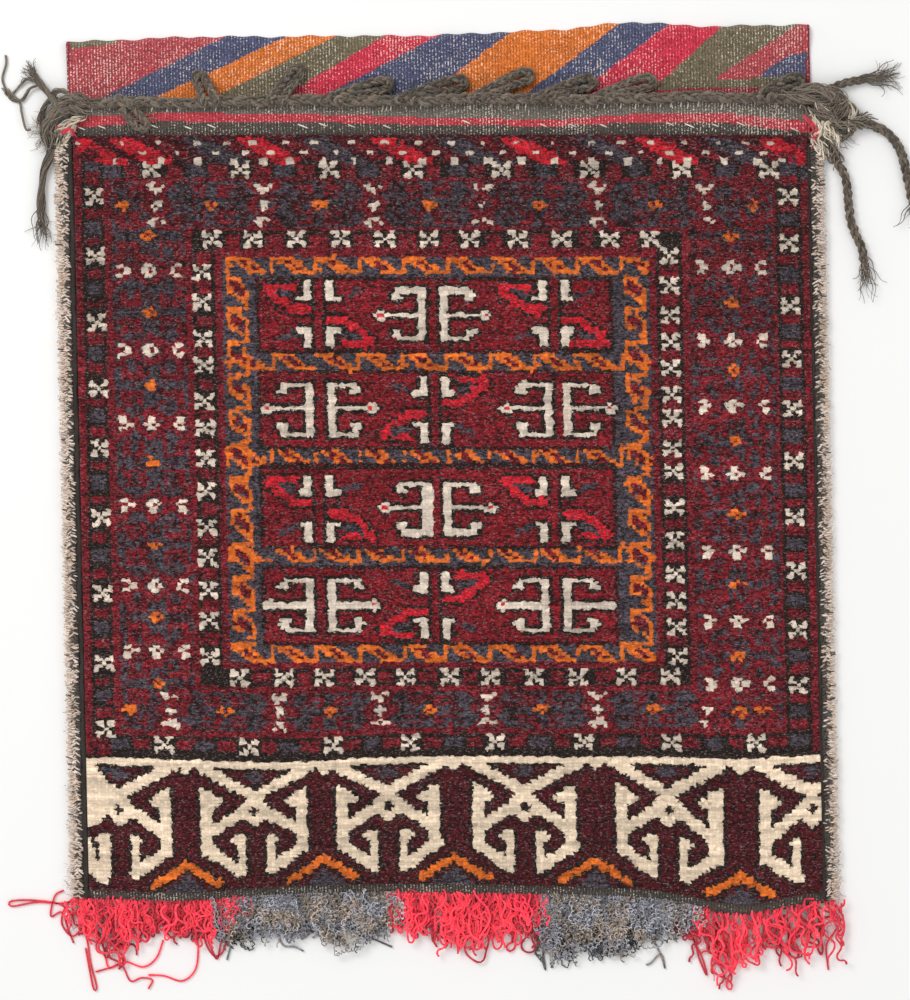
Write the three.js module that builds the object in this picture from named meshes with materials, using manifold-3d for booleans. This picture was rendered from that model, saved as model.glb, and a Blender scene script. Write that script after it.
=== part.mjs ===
// A woven tent bag lying on its back: a knotted-pile face laced at both sides to a striped flat-woven
// back, open along the mouth, with braided closing loops, tie ends at the corners and a yarn fringe.
// Millimetres, +Z up. +Y runs from the foot of the bag to its mouth, and the back rests on Z = 0.

import * as THREE from "three";
import { mergeVertices } from "three/addons/utils/BufferGeometryUtils.js";
import Module from "manifold-3d";

const wasm = await Module();
wasm.setup();

// Clearance between pieces that touch
const CLEARANCE = 0.3;

// The two woven panels
const PANEL_WIDTH = 537;
const BACK_LENGTH = 625;
const FLAP_LENGTH = 52;
const MOUTH_BAND = 24;
const FOOT_BAND = 7;
const WEAVE_THICKNESS = 2.4;
const PILE_HEIGHT = 4.6;
const PILE_BEVEL = 1;

// The pocket between the panels, and how far in from each seam the face comes up to its full height
const POCKET_HEIGHT = 7;
const ROLL_WIDTH = 55;
const ROLL_STEPS = 5;

// The lie of the bag on the floor: the sides lean and the mouth and flap tilt, both as a slope
const SIDE_LEAN = 0.0215;
const MOUTH_TILT = 0.024;

// Side lacing: the overcast yarn that wraps both edges
const LACING_LIP = 9;
const LACING_BULGE = 7.7;
const LACING_UPPER = 2.2;
const LACING_LOWER = 1;
const LACING_ROUND = 3;
const LACING_ROUND_STEPS = 4;
const LACING_SHORT_OF_PILE = 15;

// Wools that stand proud of the worn dark ground, and the widths of the pile's borders from the outside
// in: the outer guard, the main border, the inner guard and the vine frame
const RELIEF = 0.8;
const GUARD_LINE = 4;
const BORDER_BANDS = [
  { side: 22, mouth: 31, foot: 16 },
  { side: 57, mouth: 35, foot: 31 },
  { side: 27, mouth: 18, foot: 16 },
  { side: 28, mouth: 19, foot: 17 },
];
const ELEM_HEIGHT = 98;
const COMPARTMENT_ROWS = 4;
const RUNG_WIDTH = 14;
const MOTIFS_IN_ROW = 3;

// Double comb motif of the compartments
const COMB_HEIGHT = 38;
const COMB_SPINE = 6;
const COMB_GAP = 9;
const COMB_ARM = 18;
const COMB_MIDDLE_ARM = 26;
const COMB_ARM_WIDTH = 4.2;
const COMB_HOOK = 9;

// Cross motif of the compartments: four short brackets and two slanting horns
const CROSS_GAP = 9;
const CROSS_STEM = 15;
const CROSS_FOOT = 15;
const CROSS_BAR = 5;
const CROSS_CLEAR = 8;
const HORN_ROOT = 16;
const HORN_REACH = 36;
const HORN_RISE = 20;
const HORN_WIDTH = 8;

// Lattice of the panel at the foot, one repeat about its crossing
const LATTICE_PERIOD = 98.6;
const LATTICE_SHIFT = -42;
const LATTICE_BAR = 7;
const CROSSING_BELOW_ELEM_TOP = 31;
const UPPER_ARM_X = 40;
const UPPER_ARM_RISE = 24;
const LOWER_ARM_X = 33;
const LOWER_ARM_DROP = 22;
const LATTICE_POST_DROP = 42;
const LATTICE_HOOK_X = 12;
const LATTICE_HOOK_DROP = 57;
const LATTICE_HOOK_RISE = 26;
const CHEVRON_X = 22;
const CHEVRON_APEX_DROP = 51;
const CHEVRON_FOOT_DROP = 68;
const CHEVRON_BAR = 4.6;

// Goat-hair braids: the mouth cord and the closing loops that lie on the flap
const CORD_DIAMETER = 8.5;
const CORD_INSET = 3;
const CORD_SEAT = 0.6;
const CORD_END_INSET = 2;
const CORD_STEPS = 42;
const BRAID_DIAMETER = 7;
const LOOP_FOOT_SPACING = 10;
const LOOP_HALF_WIDTH = 4.2;
const LOOP_BELLY = 0.6;
const LOOP_FALL_START = -0.4;
const LOOP_FALL_END = 0.9;
const LOOP_STEPS = 18;
const BRAID_SIDES = 8;
const LOOPS = [
  { root: -170, angle: 118, length: 20 },
  { root: -121, angle: 54, length: 27 },
  { root: -81, angle: 12, length: 42 },
  { root: -28, angle: 12, length: 43 },
  { root: 24, angle: 21, length: 40 },
  { root: 70, angle: 13, length: 38 },
  { root: 113, angle: 13, length: 38 },
  { root: 229, angle: 16, length: 29 },
];

// Tangled lumps of hair and yarn: two at the corners of the mouth and one in front of the mouth cord
const TANGLE_SEGMENTS = 16;
const TANGLE_RINGS = 10;
const TANGLE_LUMP = 0.1;
const TANGLE_LUMPS_AROUND = 4;
const CORNER_KNOTS = [
  { name: "left_corner_knot", side: -1, below: 17.5, reach: 13, length: 15, height: 5 },
  { name: "right_corner_knot", side: 1, below: 21.5, reach: 17, length: 15.5, height: 5 },
];
const MOUTH_TUFT = { inset: 46.5, reach: 13, length: 7.4, height: 4 };

// Loose tie ends lying on the floor beside the corners. A point is how far it lies out from the panel's
// edge, how far up from the mouth, and its height above the floor.
const TIES = [
  {
    name: "right_upper_tie",
    side: 1,
    diameter: 7,
    steps: 6,
    points: [
      [-1.7, -3, 9.9], [3, -3, 9.9], [15.5, 3.5, 8], [26.5, 9, 5.6], [37.5, 12.5, 3.9],
      [47.5, 14.5, 3.7], [56.5, 16, 3.7],
    ],
  },
  {
    name: "right_middle_tie",
    side: 1,
    diameter: 7.5,
    steps: 8,
    points: [
      [34.6, -21.5, 5], [38.5, -21.5, 5], [45.5, -20, 4.6], [52.5, -21.5, 4.1], [58.5, -26, 4],
      [63.5, -34.5, 3.9], [67, -46.5, 3.9], [69.5, -59.5, 3.9], [72.5, -73.5, 3.9],
    ],
  },
  {
    name: "right_lower_tie",
    side: 1,
    diameter: 7,
    steps: 8,
    points: [
      [17.3, -37.3, 5], [17.5, -41.5, 5], [23, -50.5, 4.2], [25, -61.5, 3.8], [25.8, -72.5, 3.7],
      [27, -83.5, 3.7], [30.5, -94.5, 3.7], [34.5, -103.5, 3.7], [36, -113.5, 3.7],
    ],
  },
  {
    name: "left_upper_tuft",
    side: -1,
    diameter: 7,
    steps: 5,
    points: [
      [-1.7, -3, 9.9], [3, -3, 9.9], [8.5, 3.5, 9], [14.5, 12, 7], [19.5, 19, 5], [23.5, 24.5, 3.9],
    ],
  },
  {
    name: "left_yarn_end",
    side: -1,
    diameter: 2.6,
    steps: 12,
    points: [
      [26.7, -17.5, 5], [30.5, -17, 4.8], [33.5, -3.5, 3], [34.5, 3.5, 1.9], [38.5, 9.5, 1.6],
      [44, 14.5, 1.6], [46.9, 23.5, 1.6], [44, 35.5, 1.6], [44.1, 42.5, 1.6],
    ],
  },
  {
    name: "left_lower_tuft",
    side: -1,
    diameter: 7,
    steps: 6,
    points: [
      [13.3, -32.8, 5], [13.5, -37, 5], [18, -47.5, 4.2], [19.5, -56.5, 3.8], [20.5, -66.5, 3.7],
      [21, -78.5, 3.7],
    ],
  },
];

// Fringe of yarn along the foot, in alternating groups whose lengths are shares of one length
const FRINGE_LENGTH = 50;
const FRINGE_GROUPS = [
  { name: "red_fringe_left", wool: "fringeRed", share: 1, lobes: 7 },
  { name: "grey_fringe_left", wool: "fringeGrey", share: 0.86, lobes: 8 },
  { name: "red_fringe_middle", wool: "fringeRed", share: 0.96, lobes: 7 },
  { name: "grey_fringe_right", wool: "fringeGrey", share: 0.94, lobes: 8 },
  { name: "red_fringe_right", wool: "fringeRed", share: 1.12, lobes: 7 },
];
const FRINGE_HEIGHT = 8;
const FRINGE_TIP_HEIGHT = 4;
const FRINGE_LOBE_DEPTH = 0.2;
const FRINGE_LOBE_RISE = 0.3;
const FRINGE_COLUMNS_PER_LOBE = 4;
const FRINGE_ROWS = 4;

// Colours and finishes
const FINISHES = {
  pile: { color: 0x6b1a22, roughness: 0.95, metalness: 0 },
  kilim: { color: 0x9a4a4a, roughness: 0.95, metalness: 0 },
  lacing: { color: 0xd8c8b0, roughness: 0.95, metalness: 0 },
  goatHair: { color: 0x4c473d, roughness: 0.9, metalness: 0 },
  fringeRed: { color: 0xe0384a, roughness: 0.85, metalness: 0 },
  fringeGrey: { color: 0x75767c, roughness: 0.95, metalness: 0 },
};

// Places that follow from the driving dimensions
const HALF_WIDTH = PANEL_WIDTH / 2;
const FOOT_Y = -BACK_LENGTH / 2;
const TOP_Y = BACK_LENGTH / 2;
const MOUTH_Y = TOP_Y - FLAP_LENGTH;
const PILE_TOP_Y = MOUTH_Y - MOUTH_BAND;
const PILE_FOOT_Y = FOOT_Y + FOOT_BAND;
const LIP_X = HALF_WIDTH - LACING_LIP;
const PILE_X = LIP_X - CLEARANCE;
const LACING_TOP_Y = PILE_TOP_Y - LACING_SHORT_OF_PILE;
const LACED_HALF_WIDTH = HALF_WIDTH + CLEARANCE + LACING_BULGE;
const FACE_SEAT_Z = WEAVE_THICKNESS + CLEARANCE;
const LACING_SLOT_TOP = FACE_SEAT_Z + WEAVE_THICKNESS + CLEARANCE;
const RECESS_Z = LACING_LOWER + CLEARANCE;
const CORD_Y = MOUTH_Y - CORD_INSET;

// Lays a straight-built shape down as the bag lies: leaning sides, tilted mouth.
function lay(geometry) {
  const place = geometry.attributes.position;
  for (let i = 0; i < place.count; i += 1) {
    const x = place.getX(i);
    const y = place.getY(i);
    const share = THREE.MathUtils.clamp((y - PILE_TOP_Y) / MOUTH_BAND, 0, 1);
    place.setXY(i, x - SIDE_LEAN * y, y + MOUTH_TILT * x * share);
  }
  return geometry;
}

// Leaves only shared corner positions, as solids and joins need.
function bare(geometry) {
  geometry.deleteAttribute("normal");
  geometry.deleteAttribute("uv");
  return mergeVertices(geometry);
}

function solidOf(geometry) {
  const clean = bare(geometry);
  const mesh = new wasm.Mesh({
    numProp: 3,
    vertProperties: Float32Array.from(clean.attributes.position.array),
    triVerts: Uint32Array.from(clean.index.array),
  });
  return new wasm.Manifold(mesh);
}

function geometryOf(solid) {
  const mesh = solid.getMesh();
  const geometry = new THREE.BufferGeometry();
  geometry.setAttribute("position", new THREE.BufferAttribute(mesh.vertProperties, mesh.numProp));
  geometry.setIndex(new THREE.BufferAttribute(mesh.triVerts, 1));
  return geometry;
}

// A closed sheet between a lower and an upper surface, both given at the same columns and rows.
function closedSheet(columns, rows, lower, upper) {
  const positions = [];
  const faces = [];
  const across = columns.length;
  const up = rows.length;
  for (const surface of [lower, upper]) {
    for (const row of rows) {
      for (const column of columns) {
        positions.push(...surface(column, row));
      }
    }
  }
  const corner = (layer, column, row) => (layer * up + row) * across + column;
  const quad = (a, b, c, d) => faces.push(a, b, c, a, c, d);
  for (let row = 0; row + 1 < up; row += 1) {
    for (let column = 0; column + 1 < across; column += 1) {
      const ring = (layer) => [
        corner(layer, column, row),
        corner(layer, column + 1, row),
        corner(layer, column + 1, row + 1),
        corner(layer, column, row + 1),
      ];
      quad(...ring(1));
      quad(...ring(0).reverse());
    }
  }
  const wall = (column, row, nextColumn, nextRow) => quad(
    corner(0, column, row),
    corner(0, nextColumn, nextRow),
    corner(1, nextColumn, nextRow),
    corner(1, column, row),
  );
  for (let column = 0; column + 1 < across; column += 1) {
    wall(column, 0, column + 1, 0);
    wall(column + 1, up - 1, column, up - 1);
  }
  for (let row = 0; row + 1 < up; row += 1) {
    wall(0, row + 1, 0, row);
    wall(across - 1, row, across - 1, row + 1);
  }
  const geometry = new THREE.BufferGeometry();
  geometry.setAttribute("position", new THREE.Float32BufferAttribute(positions, 3));
  geometry.setIndex(faces);
  return geometry;
}

// A round cord along a smooth curve through the given points.
function tube(points, diameter, steps) {
  const path = new THREE.CatmullRomCurve3(points.map((point) => new THREE.Vector3(...point)));
  const section = new THREE.Shape().absarc(0, 0, diameter / 2, 0, 2 * Math.PI);
  const settings = { steps, curveSegments: BRAID_SIDES / 2, bevelEnabled: false, extrudePath: path };
  return bare(new THREE.ExtrudeGeometry(section, settings));
}

// The share of its full height that the face has at a place, from 0 along the seams to 1.
function loft(x, y) {
  const fromSide = THREE.MathUtils.smoothstep(PILE_X - Math.abs(x), 0, ROLL_WIDTH);
  const fromFoot = THREE.MathUtils.smoothstep(y - PILE_FOOT_Y, 0, ROLL_WIDTH);
  return fromSide * fromFoot;
}

function faceUnder(x, y) {
  return FACE_SEAT_Z + POCKET_HEIGHT * loft(x, y);
}

function isPile(x, y) {
  const across = Math.abs(x) <= PILE_X - PILE_BEVEL;
  return across && y >= PILE_FOOT_Y + PILE_BEVEL && y <= PILE_TOP_Y - PILE_BEVEL;
}

function faceTop(x, y) {
  return faceUnder(x, y) + WEAVE_THICKNESS + (isPile(x, y) ? PILE_HEIGHT : 0);
}

function bandTop(x) {
  return faceUnder(x, MOUTH_Y) + WEAVE_THICKNESS;
}

// Distances inward from a pile edge at which the face is given a column or a row.
function rollStations() {
  const stations = [0, PILE_BEVEL];
  for (let step = 1; step <= ROLL_STEPS; step += 1) {
    stations.push(PILE_BEVEL + (step / ROLL_STEPS) * ROLL_WIDTH);
  }
  return stations;
}

function faceColumns() {
  const right = [HALF_WIDTH, LIP_X, ...rollStations().map((inward) => PILE_X - inward)];
  return [...right.map((x) => -x), ...right.reverse()];
}

function faceRows() {
  const foot = rollStations().map((inward) => PILE_FOOT_Y + inward);
  return [FOOT_Y, ...foot, PILE_TOP_Y - PILE_BEVEL, PILE_TOP_Y, MOUTH_Y];
}

function faceSheet(lift, raise) {
  return closedSheet(
    faceColumns(),
    faceRows(),
    (x, y) => [x, y, faceUnder(x, y) + lift],
    (x, y) => [x, y, faceTop(x, y) + raise],
  );
}

// A tall upright slab with the given outline on the face, which the relief layer cuts to height.
function slab(outline, hole) {
  const shape = new THREE.Shape(outline.map(([x, y]) => new THREE.Vector2(x, y)));
  if (hole) {
    shape.holes.push(new THREE.Path(hole.map(([x, y]) => new THREE.Vector2(x, y))));
  }
  const depth = FACE_SEAT_Z + POCKET_HEIGHT + 2 * (WEAVE_THICKNESS + PILE_HEIGHT);
  return solidOf(new THREE.ExtrudeGeometry(shape, { depth, bevelEnabled: false }));
}

// A straight slab of one width between two places.
function bar(from, to, width) {
  const along = new THREE.Vector2(to[0] - from[0], to[1] - from[1]).setLength(width / 2);
  return slab([
    [from[0] + along.y, from[1] - along.x],
    [to[0] + along.y, to[1] - along.x],
    [to[0] - along.y, to[1] + along.x],
    [from[0] - along.y, from[1] + along.x],
  ]);
}

function joined(solids) {
  return solids.reduce((whole, solid) => whole.add(solid));
}

// The rectangle left inside the outermost bands of the pile's borders.
function insideBands(count) {
  const inset = PILE_BEVEL + GUARD_LINE;
  const box = { x: PILE_X - inset, foot: PILE_FOOT_Y + ELEM_HEIGHT, mouth: PILE_TOP_Y - inset };
  for (const band of BORDER_BANDS.slice(0, count)) {
    box.x -= band.side;
    box.foot += band.foot;
    box.mouth -= band.mouth;
  }
  return box;
}

// The raised line around one band of the border.
function guardLine(count) {
  const { x, foot, mouth } = insideBands(count);
  const half = GUARD_LINE / 2;
  const frame = (grow) => [
    [-x - grow, foot - grow],
    [x + grow, foot - grow],
    [x + grow, mouth + grow],
    [-x - grow, mouth + grow],
  ];
  return slab(frame(half), frame(-half));
}

// Two combs back to back, with hooked outer arms and a longer middle arm.
function doubleComb(x, y) {
  const half = COMB_HEIGHT / 2;
  const tip = COMB_SPINE + COMB_ARM;
  const hook = half - COMB_HOOK;
  const inner = half - COMB_ARM_WIDTH;
  const upper = [
    [COMB_SPINE + COMB_MIDDLE_ARM, COMB_ARM_WIDTH / 2],
    [COMB_SPINE, COMB_ARM_WIDTH / 2],
    [COMB_SPINE, inner],
    [tip - COMB_ARM_WIDTH, inner],
    [tip - COMB_ARM_WIDTH, hook],
    [tip, hook],
    [tip, half],
    [0, half],
  ];
  const lower = upper.map(([out, up]) => [out, -up]).reverse();
  return [-1, 1].map((side) => {
    const spine = x + (side * COMB_GAP) / 2;
    return slab([...upper, ...lower].map(([out, up]) => [spine + side * out, y + up]));
  });
}

// Four brackets about a centre, with horns in the two quarters that the lean gives.
function bracketCross(x, y, lean) {
  const near = CROSS_CLEAR / 2;
  const bracket = [
    [0, near],
    [CROSS_FOOT, near],
    [CROSS_FOOT, near + CROSS_BAR],
    [CROSS_BAR, near + CROSS_BAR],
    [CROSS_BAR, near + CROSS_STEM],
    [0, near + CROSS_STEM],
  ];
  const slabs = [];
  for (const side of [-1, 1]) {
    const stem = x + (side * CROSS_GAP) / 2;
    for (const end of [-1, 1]) {
      slabs.push(slab(bracket.map(([out, up]) => [stem + side * out, y + end * up])));
    }
    const root = [x + side * HORN_ROOT, y + side * lean * CROSS_CLEAR];
    slabs.push(bar(root, [x + side * HORN_REACH, y + side * lean * HORN_RISE], HORN_WIDTH));
  }
  return slabs;
}

// Rungs between the compartments, and the motifs that take turns along each row.
function compartments() {
  const field = insideBands(BORDER_BANDS.length);
  const pitch = (field.mouth - field.foot + RUNG_WIDTH) / COMPARTMENT_ROWS;
  const spacing = (2 * field.x) / MOTIFS_IN_ROW;
  const bars = [];
  for (let row = 0; row < COMPARTMENT_ROWS; row += 1) {
    const y = field.foot + row * pitch + (pitch - RUNG_WIDTH) / 2;
    const lean = row % 2 === 0 ? 1 : -1;
    for (let place = 0; place < MOTIFS_IN_ROW; place += 1) {
      const x = (place - (MOTIFS_IN_ROW - 1) / 2) * spacing;
      bars.push(...((row + place) % 2 === 0 ? doubleComb(x, y) : bracketCross(x, y, lean)));
    }
    if (row > 0) {
      const rung = field.foot + row * pitch - RUNG_WIDTH / 2;
      bars.push(bar([-field.x, rung], [field.x, rung], RUNG_WIDTH));
    }
  }
  return bars;
}

// One repeat of the lattice: crossing arms, posts, and hooks that turn back up.
function latticeRepeat(x, top) {
  const y = top - CROSSING_BELOW_ELEM_TOP;
  const bars = [];
  for (const side of [-1, 1]) {
    const post = x + side * LOWER_ARM_X;
    const hook = x + side * LATTICE_HOOK_X;
    const postFoot = y - LATTICE_POST_DROP;
    const hookFoot = y - LATTICE_HOOK_DROP;
    bars.push(bar([x, y], [x + side * UPPER_ARM_X, y + UPPER_ARM_RISE], LATTICE_BAR));
    bars.push(bar([x, y], [post, y - LOWER_ARM_DROP], LATTICE_BAR));
    bars.push(bar([post, y + LATTICE_BAR], [post, postFoot], LATTICE_BAR));
    bars.push(bar([post, postFoot], [hook, hookFoot], LATTICE_BAR));
    bars.push(bar([hook, hookFoot], [hook, hookFoot + LATTICE_HOOK_RISE], LATTICE_BAR));
  }
  return bars;
}

function chevron(x, top) {
  const apex = [x, top - CROSSING_BELOW_ELEM_TOP - CHEVRON_APEX_DROP];
  const footY = top - CROSSING_BELOW_ELEM_TOP - CHEVRON_FOOT_DROP;
  return [-1, 1].map((side) => bar(apex, [x + side * CHEVRON_X, footY], CHEVRON_BAR));
}

function lattice() {
  const top = PILE_FOOT_Y + ELEM_HEIGHT - 2 * GUARD_LINE;
  const reach = PILE_X - PILE_BEVEL - GUARD_LINE / 2;
  const foot = PILE_FOOT_Y + PILE_BEVEL + GUARD_LINE / 2;
  const bars = [bar([-reach, top], [reach, top], GUARD_LINE)];
  const repeats = Math.ceil(reach / LATTICE_PERIOD);
  for (let repeat = -repeats; repeat <= repeats; repeat += 1) {
    const x = LATTICE_SHIFT + repeat * LATTICE_PERIOD;
    bars.push(...latticeRepeat(x, top), ...chevron(x + LATTICE_PERIOD / 2, top));
  }
  const above = top + GUARD_LINE;
  return joined(bars).intersect(slab([[-reach, foot], [reach, foot], [reach, above], [-reach, above]]));
}

// The face: its flat-woven bands, the pile, and the wools that stand proud in the pattern.
function pileFace() {
  const lines = Array.from({ length: BORDER_BANDS.length + 1 }, (_, count) => guardLine(count));
  const pattern = joined([...lines, ...compartments(), lattice()]);
  const proud = solidOf(faceSheet(WEAVE_THICKNESS / 2, RELIEF)).intersect(pattern);
  return geometryOf(solidOf(faceSheet(0, 0)).add(proud));
}

// The back: one flat weave whose underside is drawn in where the lacing wraps it.
function kilimBack() {
  const recessX = LIP_X - CLEARANCE;
  const recessTop = LACING_TOP_Y + CLEARANCE;
  const right = [HALF_WIDTH, recessX, recessX - PILE_BEVEL];
  const columns = [...right.map((x) => -x), ...[...right].reverse()];
  const rows = [FOOT_Y, recessTop, recessTop + PILE_BEVEL, TOP_Y];
  const isRecess = (x, y) => Math.abs(x) >= recessX && y <= recessTop;
  return closedSheet(
    columns,
    rows,
    (x, y) => [x, y, isRecess(x, y) ? RECESS_Z : 0],
    (x, y) => [x, y, WEAVE_THICKNESS],
  );
}

// Overcast lacing with a slot that takes both panel edges; side is -1 for the left, 1 for the right.
function sideLacing(side) {
  const top = LACING_SLOT_TOP + LACING_UPPER;
  const slotEnd = HALF_WIDTH + CLEARANCE;
  const outer = LACED_HALF_WIDTH;
  const section = new THREE.Shape();
  section.moveTo(LIP_X, 0);
  section.lineTo(outer - LACING_ROUND, 0);
  section.absarc(outer - LACING_ROUND, LACING_ROUND, LACING_ROUND, -Math.PI / 2, 0);
  section.absarc(outer - LACING_ROUND, top - LACING_ROUND, LACING_ROUND, 0, Math.PI / 2);
  section.lineTo(LIP_X, top);
  section.lineTo(LIP_X, LACING_SLOT_TOP);
  section.lineTo(slotEnd, LACING_SLOT_TOP);
  section.lineTo(slotEnd, LACING_LOWER);
  section.lineTo(LIP_X, LACING_LOWER);
  const length = LACING_TOP_Y - FOOT_Y;
  const settings = { depth: length, curveSegments: LACING_ROUND_STEPS, bevelEnabled: false };
  const geometry = new THREE.ExtrudeGeometry(section, settings);
  geometry.rotateX(Math.PI / 2);
  geometry.translate(0, LACING_TOP_Y, 0);
  if (side < 0) {
    geometry.rotateZ(Math.PI);
    geometry.translate(0, LACING_TOP_Y + FOOT_Y, 0);
  }
  return bare(geometry);
}

// Height of the mouth cord's centre where it lies on the mouth band.
function cordHeight(x) {
  return bandTop(x) + CORD_SEAT + CORD_DIAMETER / 2;
}

function mouthCord() {
  const end = HALF_WIDTH - CORD_END_INSET;
  const inner = rollStations().map((inward) => PILE_X - inward);
  const right = [end, ...inner.slice(1)];
  const stations = [...right.map((x) => -x), 0, ...right.reverse()];
  return tube(stations.map((x) => [x, CORD_Y, cordHeight(x)]), CORD_DIAMETER, CORD_STEPS);
}

// A braid that leaves the mouth cord, lies over on the flap and comes back to the cord.
function closingLoop({ root, angle, length }) {
  const turn = THREE.MathUtils.degToRad(angle);
  const along = [Math.cos(turn), Math.sin(turn)];
  const startY = CORD_Y + CORD_DIAMETER / 2 + CLEARANCE;
  const startZ = cordHeight(root);
  const restZ = WEAVE_THICKNESS + CLEARANCE + BRAID_DIAMETER / 2;
  const middle = [root + LOOP_FOOT_SPACING / 2, startY + BRAID_DIAMETER];
  const fall = (share) => THREE.MathUtils.smoothstep(share, LOOP_FALL_START, LOOP_FALL_END);
  const place = (share, sideways) => {
    const out = share * length;
    return [
      middle[0] + along[0] * out - along[1] * sideways,
      middle[1] + along[1] * out + along[0] * sideways,
      THREE.MathUtils.lerp(startZ, restZ, fall(share)),
    ];
  };
  const near = LOOP_HALF_WIDTH / length;
  return tube(
    [
      [root, startY, startZ],
      [root, startY + BRAID_DIAMETER / 2, startZ],
      place(LOOP_BELLY, LOOP_HALF_WIDTH),
      place(1 - near, LOOP_HALF_WIDTH),
      place(1, 0),
      place(1 - near, -LOOP_HALF_WIDTH),
      place(LOOP_BELLY, -LOOP_HALF_WIDTH),
      [root + LOOP_FOOT_SPACING, startY + BRAID_DIAMETER / 2, startZ],
      [root + LOOP_FOOT_SPACING, startY, startZ],
    ],
    BRAID_DIAMETER,
    LOOP_STEPS,
  );
}

// A lumpy tangle of hair and yarn about a centre.
function tangle(x, y, z, { reach, length, height }) {
  const geometry = bare(new THREE.SphereGeometry(1, TANGLE_SEGMENTS, TANGLE_RINGS));
  const place = geometry.attributes.position;
  const point = new THREE.Vector3();
  const largest = 1 + TANGLE_LUMP;
  for (let i = 0; i < place.count; i += 1) {
    point.fromBufferAttribute(place, i);
    const around = Math.atan2(point.y, point.x);
    const lump = 1 + TANGLE_LUMP * Math.cos(TANGLE_LUMPS_AROUND * around) * (1 - point.z * point.z);
    place.setXYZ(i, point.x * lump, point.y * lump, point.z);
  }
  geometry.scale(reach / largest, length / largest, height);
  return geometry.translate(x, y, z);
}

// A tangle that touches the panel's edge and rests on the floor.
function cornerKnot(knot) {
  const x = knot.side * (HALF_WIDTH + CLEARANCE + knot.reach);
  return tangle(x, MOUTH_Y - knot.below, knot.height, knot);
}

// A loose end that goes with its corner of the mouth.
function tieEnd({ side, diameter, steps, points }) {
  const route = points.map(([out, up, z]) => [side * (HALF_WIDTH + out), MOUTH_Y + up, z]);
  return tube(route, diameter, steps);
}

// A tangle that lies on the mouth band, against the mouth cord.
function mouthTuft() {
  const { inset, reach, length, height } = MOUTH_TUFT;
  const x = inset - HALF_WIDTH;
  const y = CORD_Y - CORD_DIAMETER / 2 - CLEARANCE - length;
  return tangle(x, y, bandTop(x + reach) + CLEARANCE + height, MOUTH_TUFT);
}

// One group of the fringe: yarn ends that lie out from the foot in lobes and thin towards the tips.
function fringeGroup(index, { share, lobes }) {
  const length = FRINGE_LENGTH * share;
  const width = (2 * LACED_HALF_WIDTH) / FRINGE_GROUPS.length;
  const start = -LACED_HALF_WIDTH + index * width + CLEARANCE / 2;
  const count = lobes * FRINGE_COLUMNS_PER_LOBE;
  const columns = Array.from({ length: count + 1 }, (_, column) => column / count);
  const rows = Array.from({ length: FRINGE_ROWS + 1 }, (_, row) => 1 - row / FRINGE_ROWS);
  const swell = (across) => Math.abs(Math.sin(lobes * Math.PI * across));
  const place = (across, out) => {
    const reach = length * (1 - FRINGE_LOBE_DEPTH * (1 - swell(across)));
    return [start + across * (width - CLEARANCE), FOOT_Y - CLEARANCE - out * reach];
  };
  const height = (across, out) => {
    const full = THREE.MathUtils.lerp(FRINGE_HEIGHT, FRINGE_TIP_HEIGHT, out);
    return full * (1 - FRINGE_LOBE_RISE * out * (1 - swell(across)));
  };
  return closedSheet(
    columns,
    rows,
    (across, out) => [...place(across, out), 0],
    (across, out) => [...place(across, out), height(across, out)],
  );
}

const tentBag = new THREE.Group();

function addPiece(name, geometry, finish) {
  const mesh = new THREE.Mesh(lay(geometry), new THREE.MeshStandardMaterial(FINISHES[finish]));
  mesh.name = name;
  tentBag.add(mesh);
}

addPiece("pile_face_panel", pileFace(), "pile");
addPiece("kilim_back_panel", kilimBack(), "kilim");
addPiece("left_side_lacing", sideLacing(-1), "lacing");
addPiece("right_side_lacing", sideLacing(1), "lacing");
addPiece("mouth_cord", mouthCord(), "goatHair");
LOOPS.forEach((loop, index) => addPiece(`closing_loop_${index + 1}`, closingLoop(loop), "goatHair"));
addPiece("mouth_tuft", mouthTuft(), "goatHair");
CORNER_KNOTS.forEach((knot) => addPiece(knot.name, cornerKnot(knot), "goatHair"));
TIES.forEach((tie) => addPiece(tie.name, tieEnd(tie), "goatHair"));
FRINGE_GROUPS.forEach((group, index) => addPiece(group.name, fringeGroup(index, group), group.wool));

export default tentBag;
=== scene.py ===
"""Dresses a woven tent bag that lies on its back: a knotted-pile face with its traditional pattern, a
striped flat-woven back whose flap stands above the mouth, overcast sides, goat-hair braids and ties, and a
yarn fringe."""

import math
from functools import partial

import bpy
import numpy as np
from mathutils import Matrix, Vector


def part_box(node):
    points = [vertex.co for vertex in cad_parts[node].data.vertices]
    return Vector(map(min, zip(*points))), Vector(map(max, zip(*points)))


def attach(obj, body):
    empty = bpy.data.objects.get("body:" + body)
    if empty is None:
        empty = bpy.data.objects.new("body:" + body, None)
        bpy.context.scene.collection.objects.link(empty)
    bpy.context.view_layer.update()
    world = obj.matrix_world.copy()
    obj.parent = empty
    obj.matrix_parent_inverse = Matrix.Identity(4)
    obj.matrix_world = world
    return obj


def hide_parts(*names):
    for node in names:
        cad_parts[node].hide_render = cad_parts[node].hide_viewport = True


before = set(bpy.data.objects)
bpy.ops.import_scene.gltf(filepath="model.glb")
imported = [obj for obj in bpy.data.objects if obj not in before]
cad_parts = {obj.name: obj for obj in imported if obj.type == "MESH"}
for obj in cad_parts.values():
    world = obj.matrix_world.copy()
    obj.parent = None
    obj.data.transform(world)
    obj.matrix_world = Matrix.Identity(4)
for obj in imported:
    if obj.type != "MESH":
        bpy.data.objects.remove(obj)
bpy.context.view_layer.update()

bl_info = {
    "name": "Tent Bag",
    "version": (1, 0, 0),
    "blender": (4, 5, 0),
    "location": "View3D > Sidebar > Tent Bag",
    "description": "Builds the woven surfaces, braids and fringe of a tent bag around its solids",
    "category": "Add Mesh",
}

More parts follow.
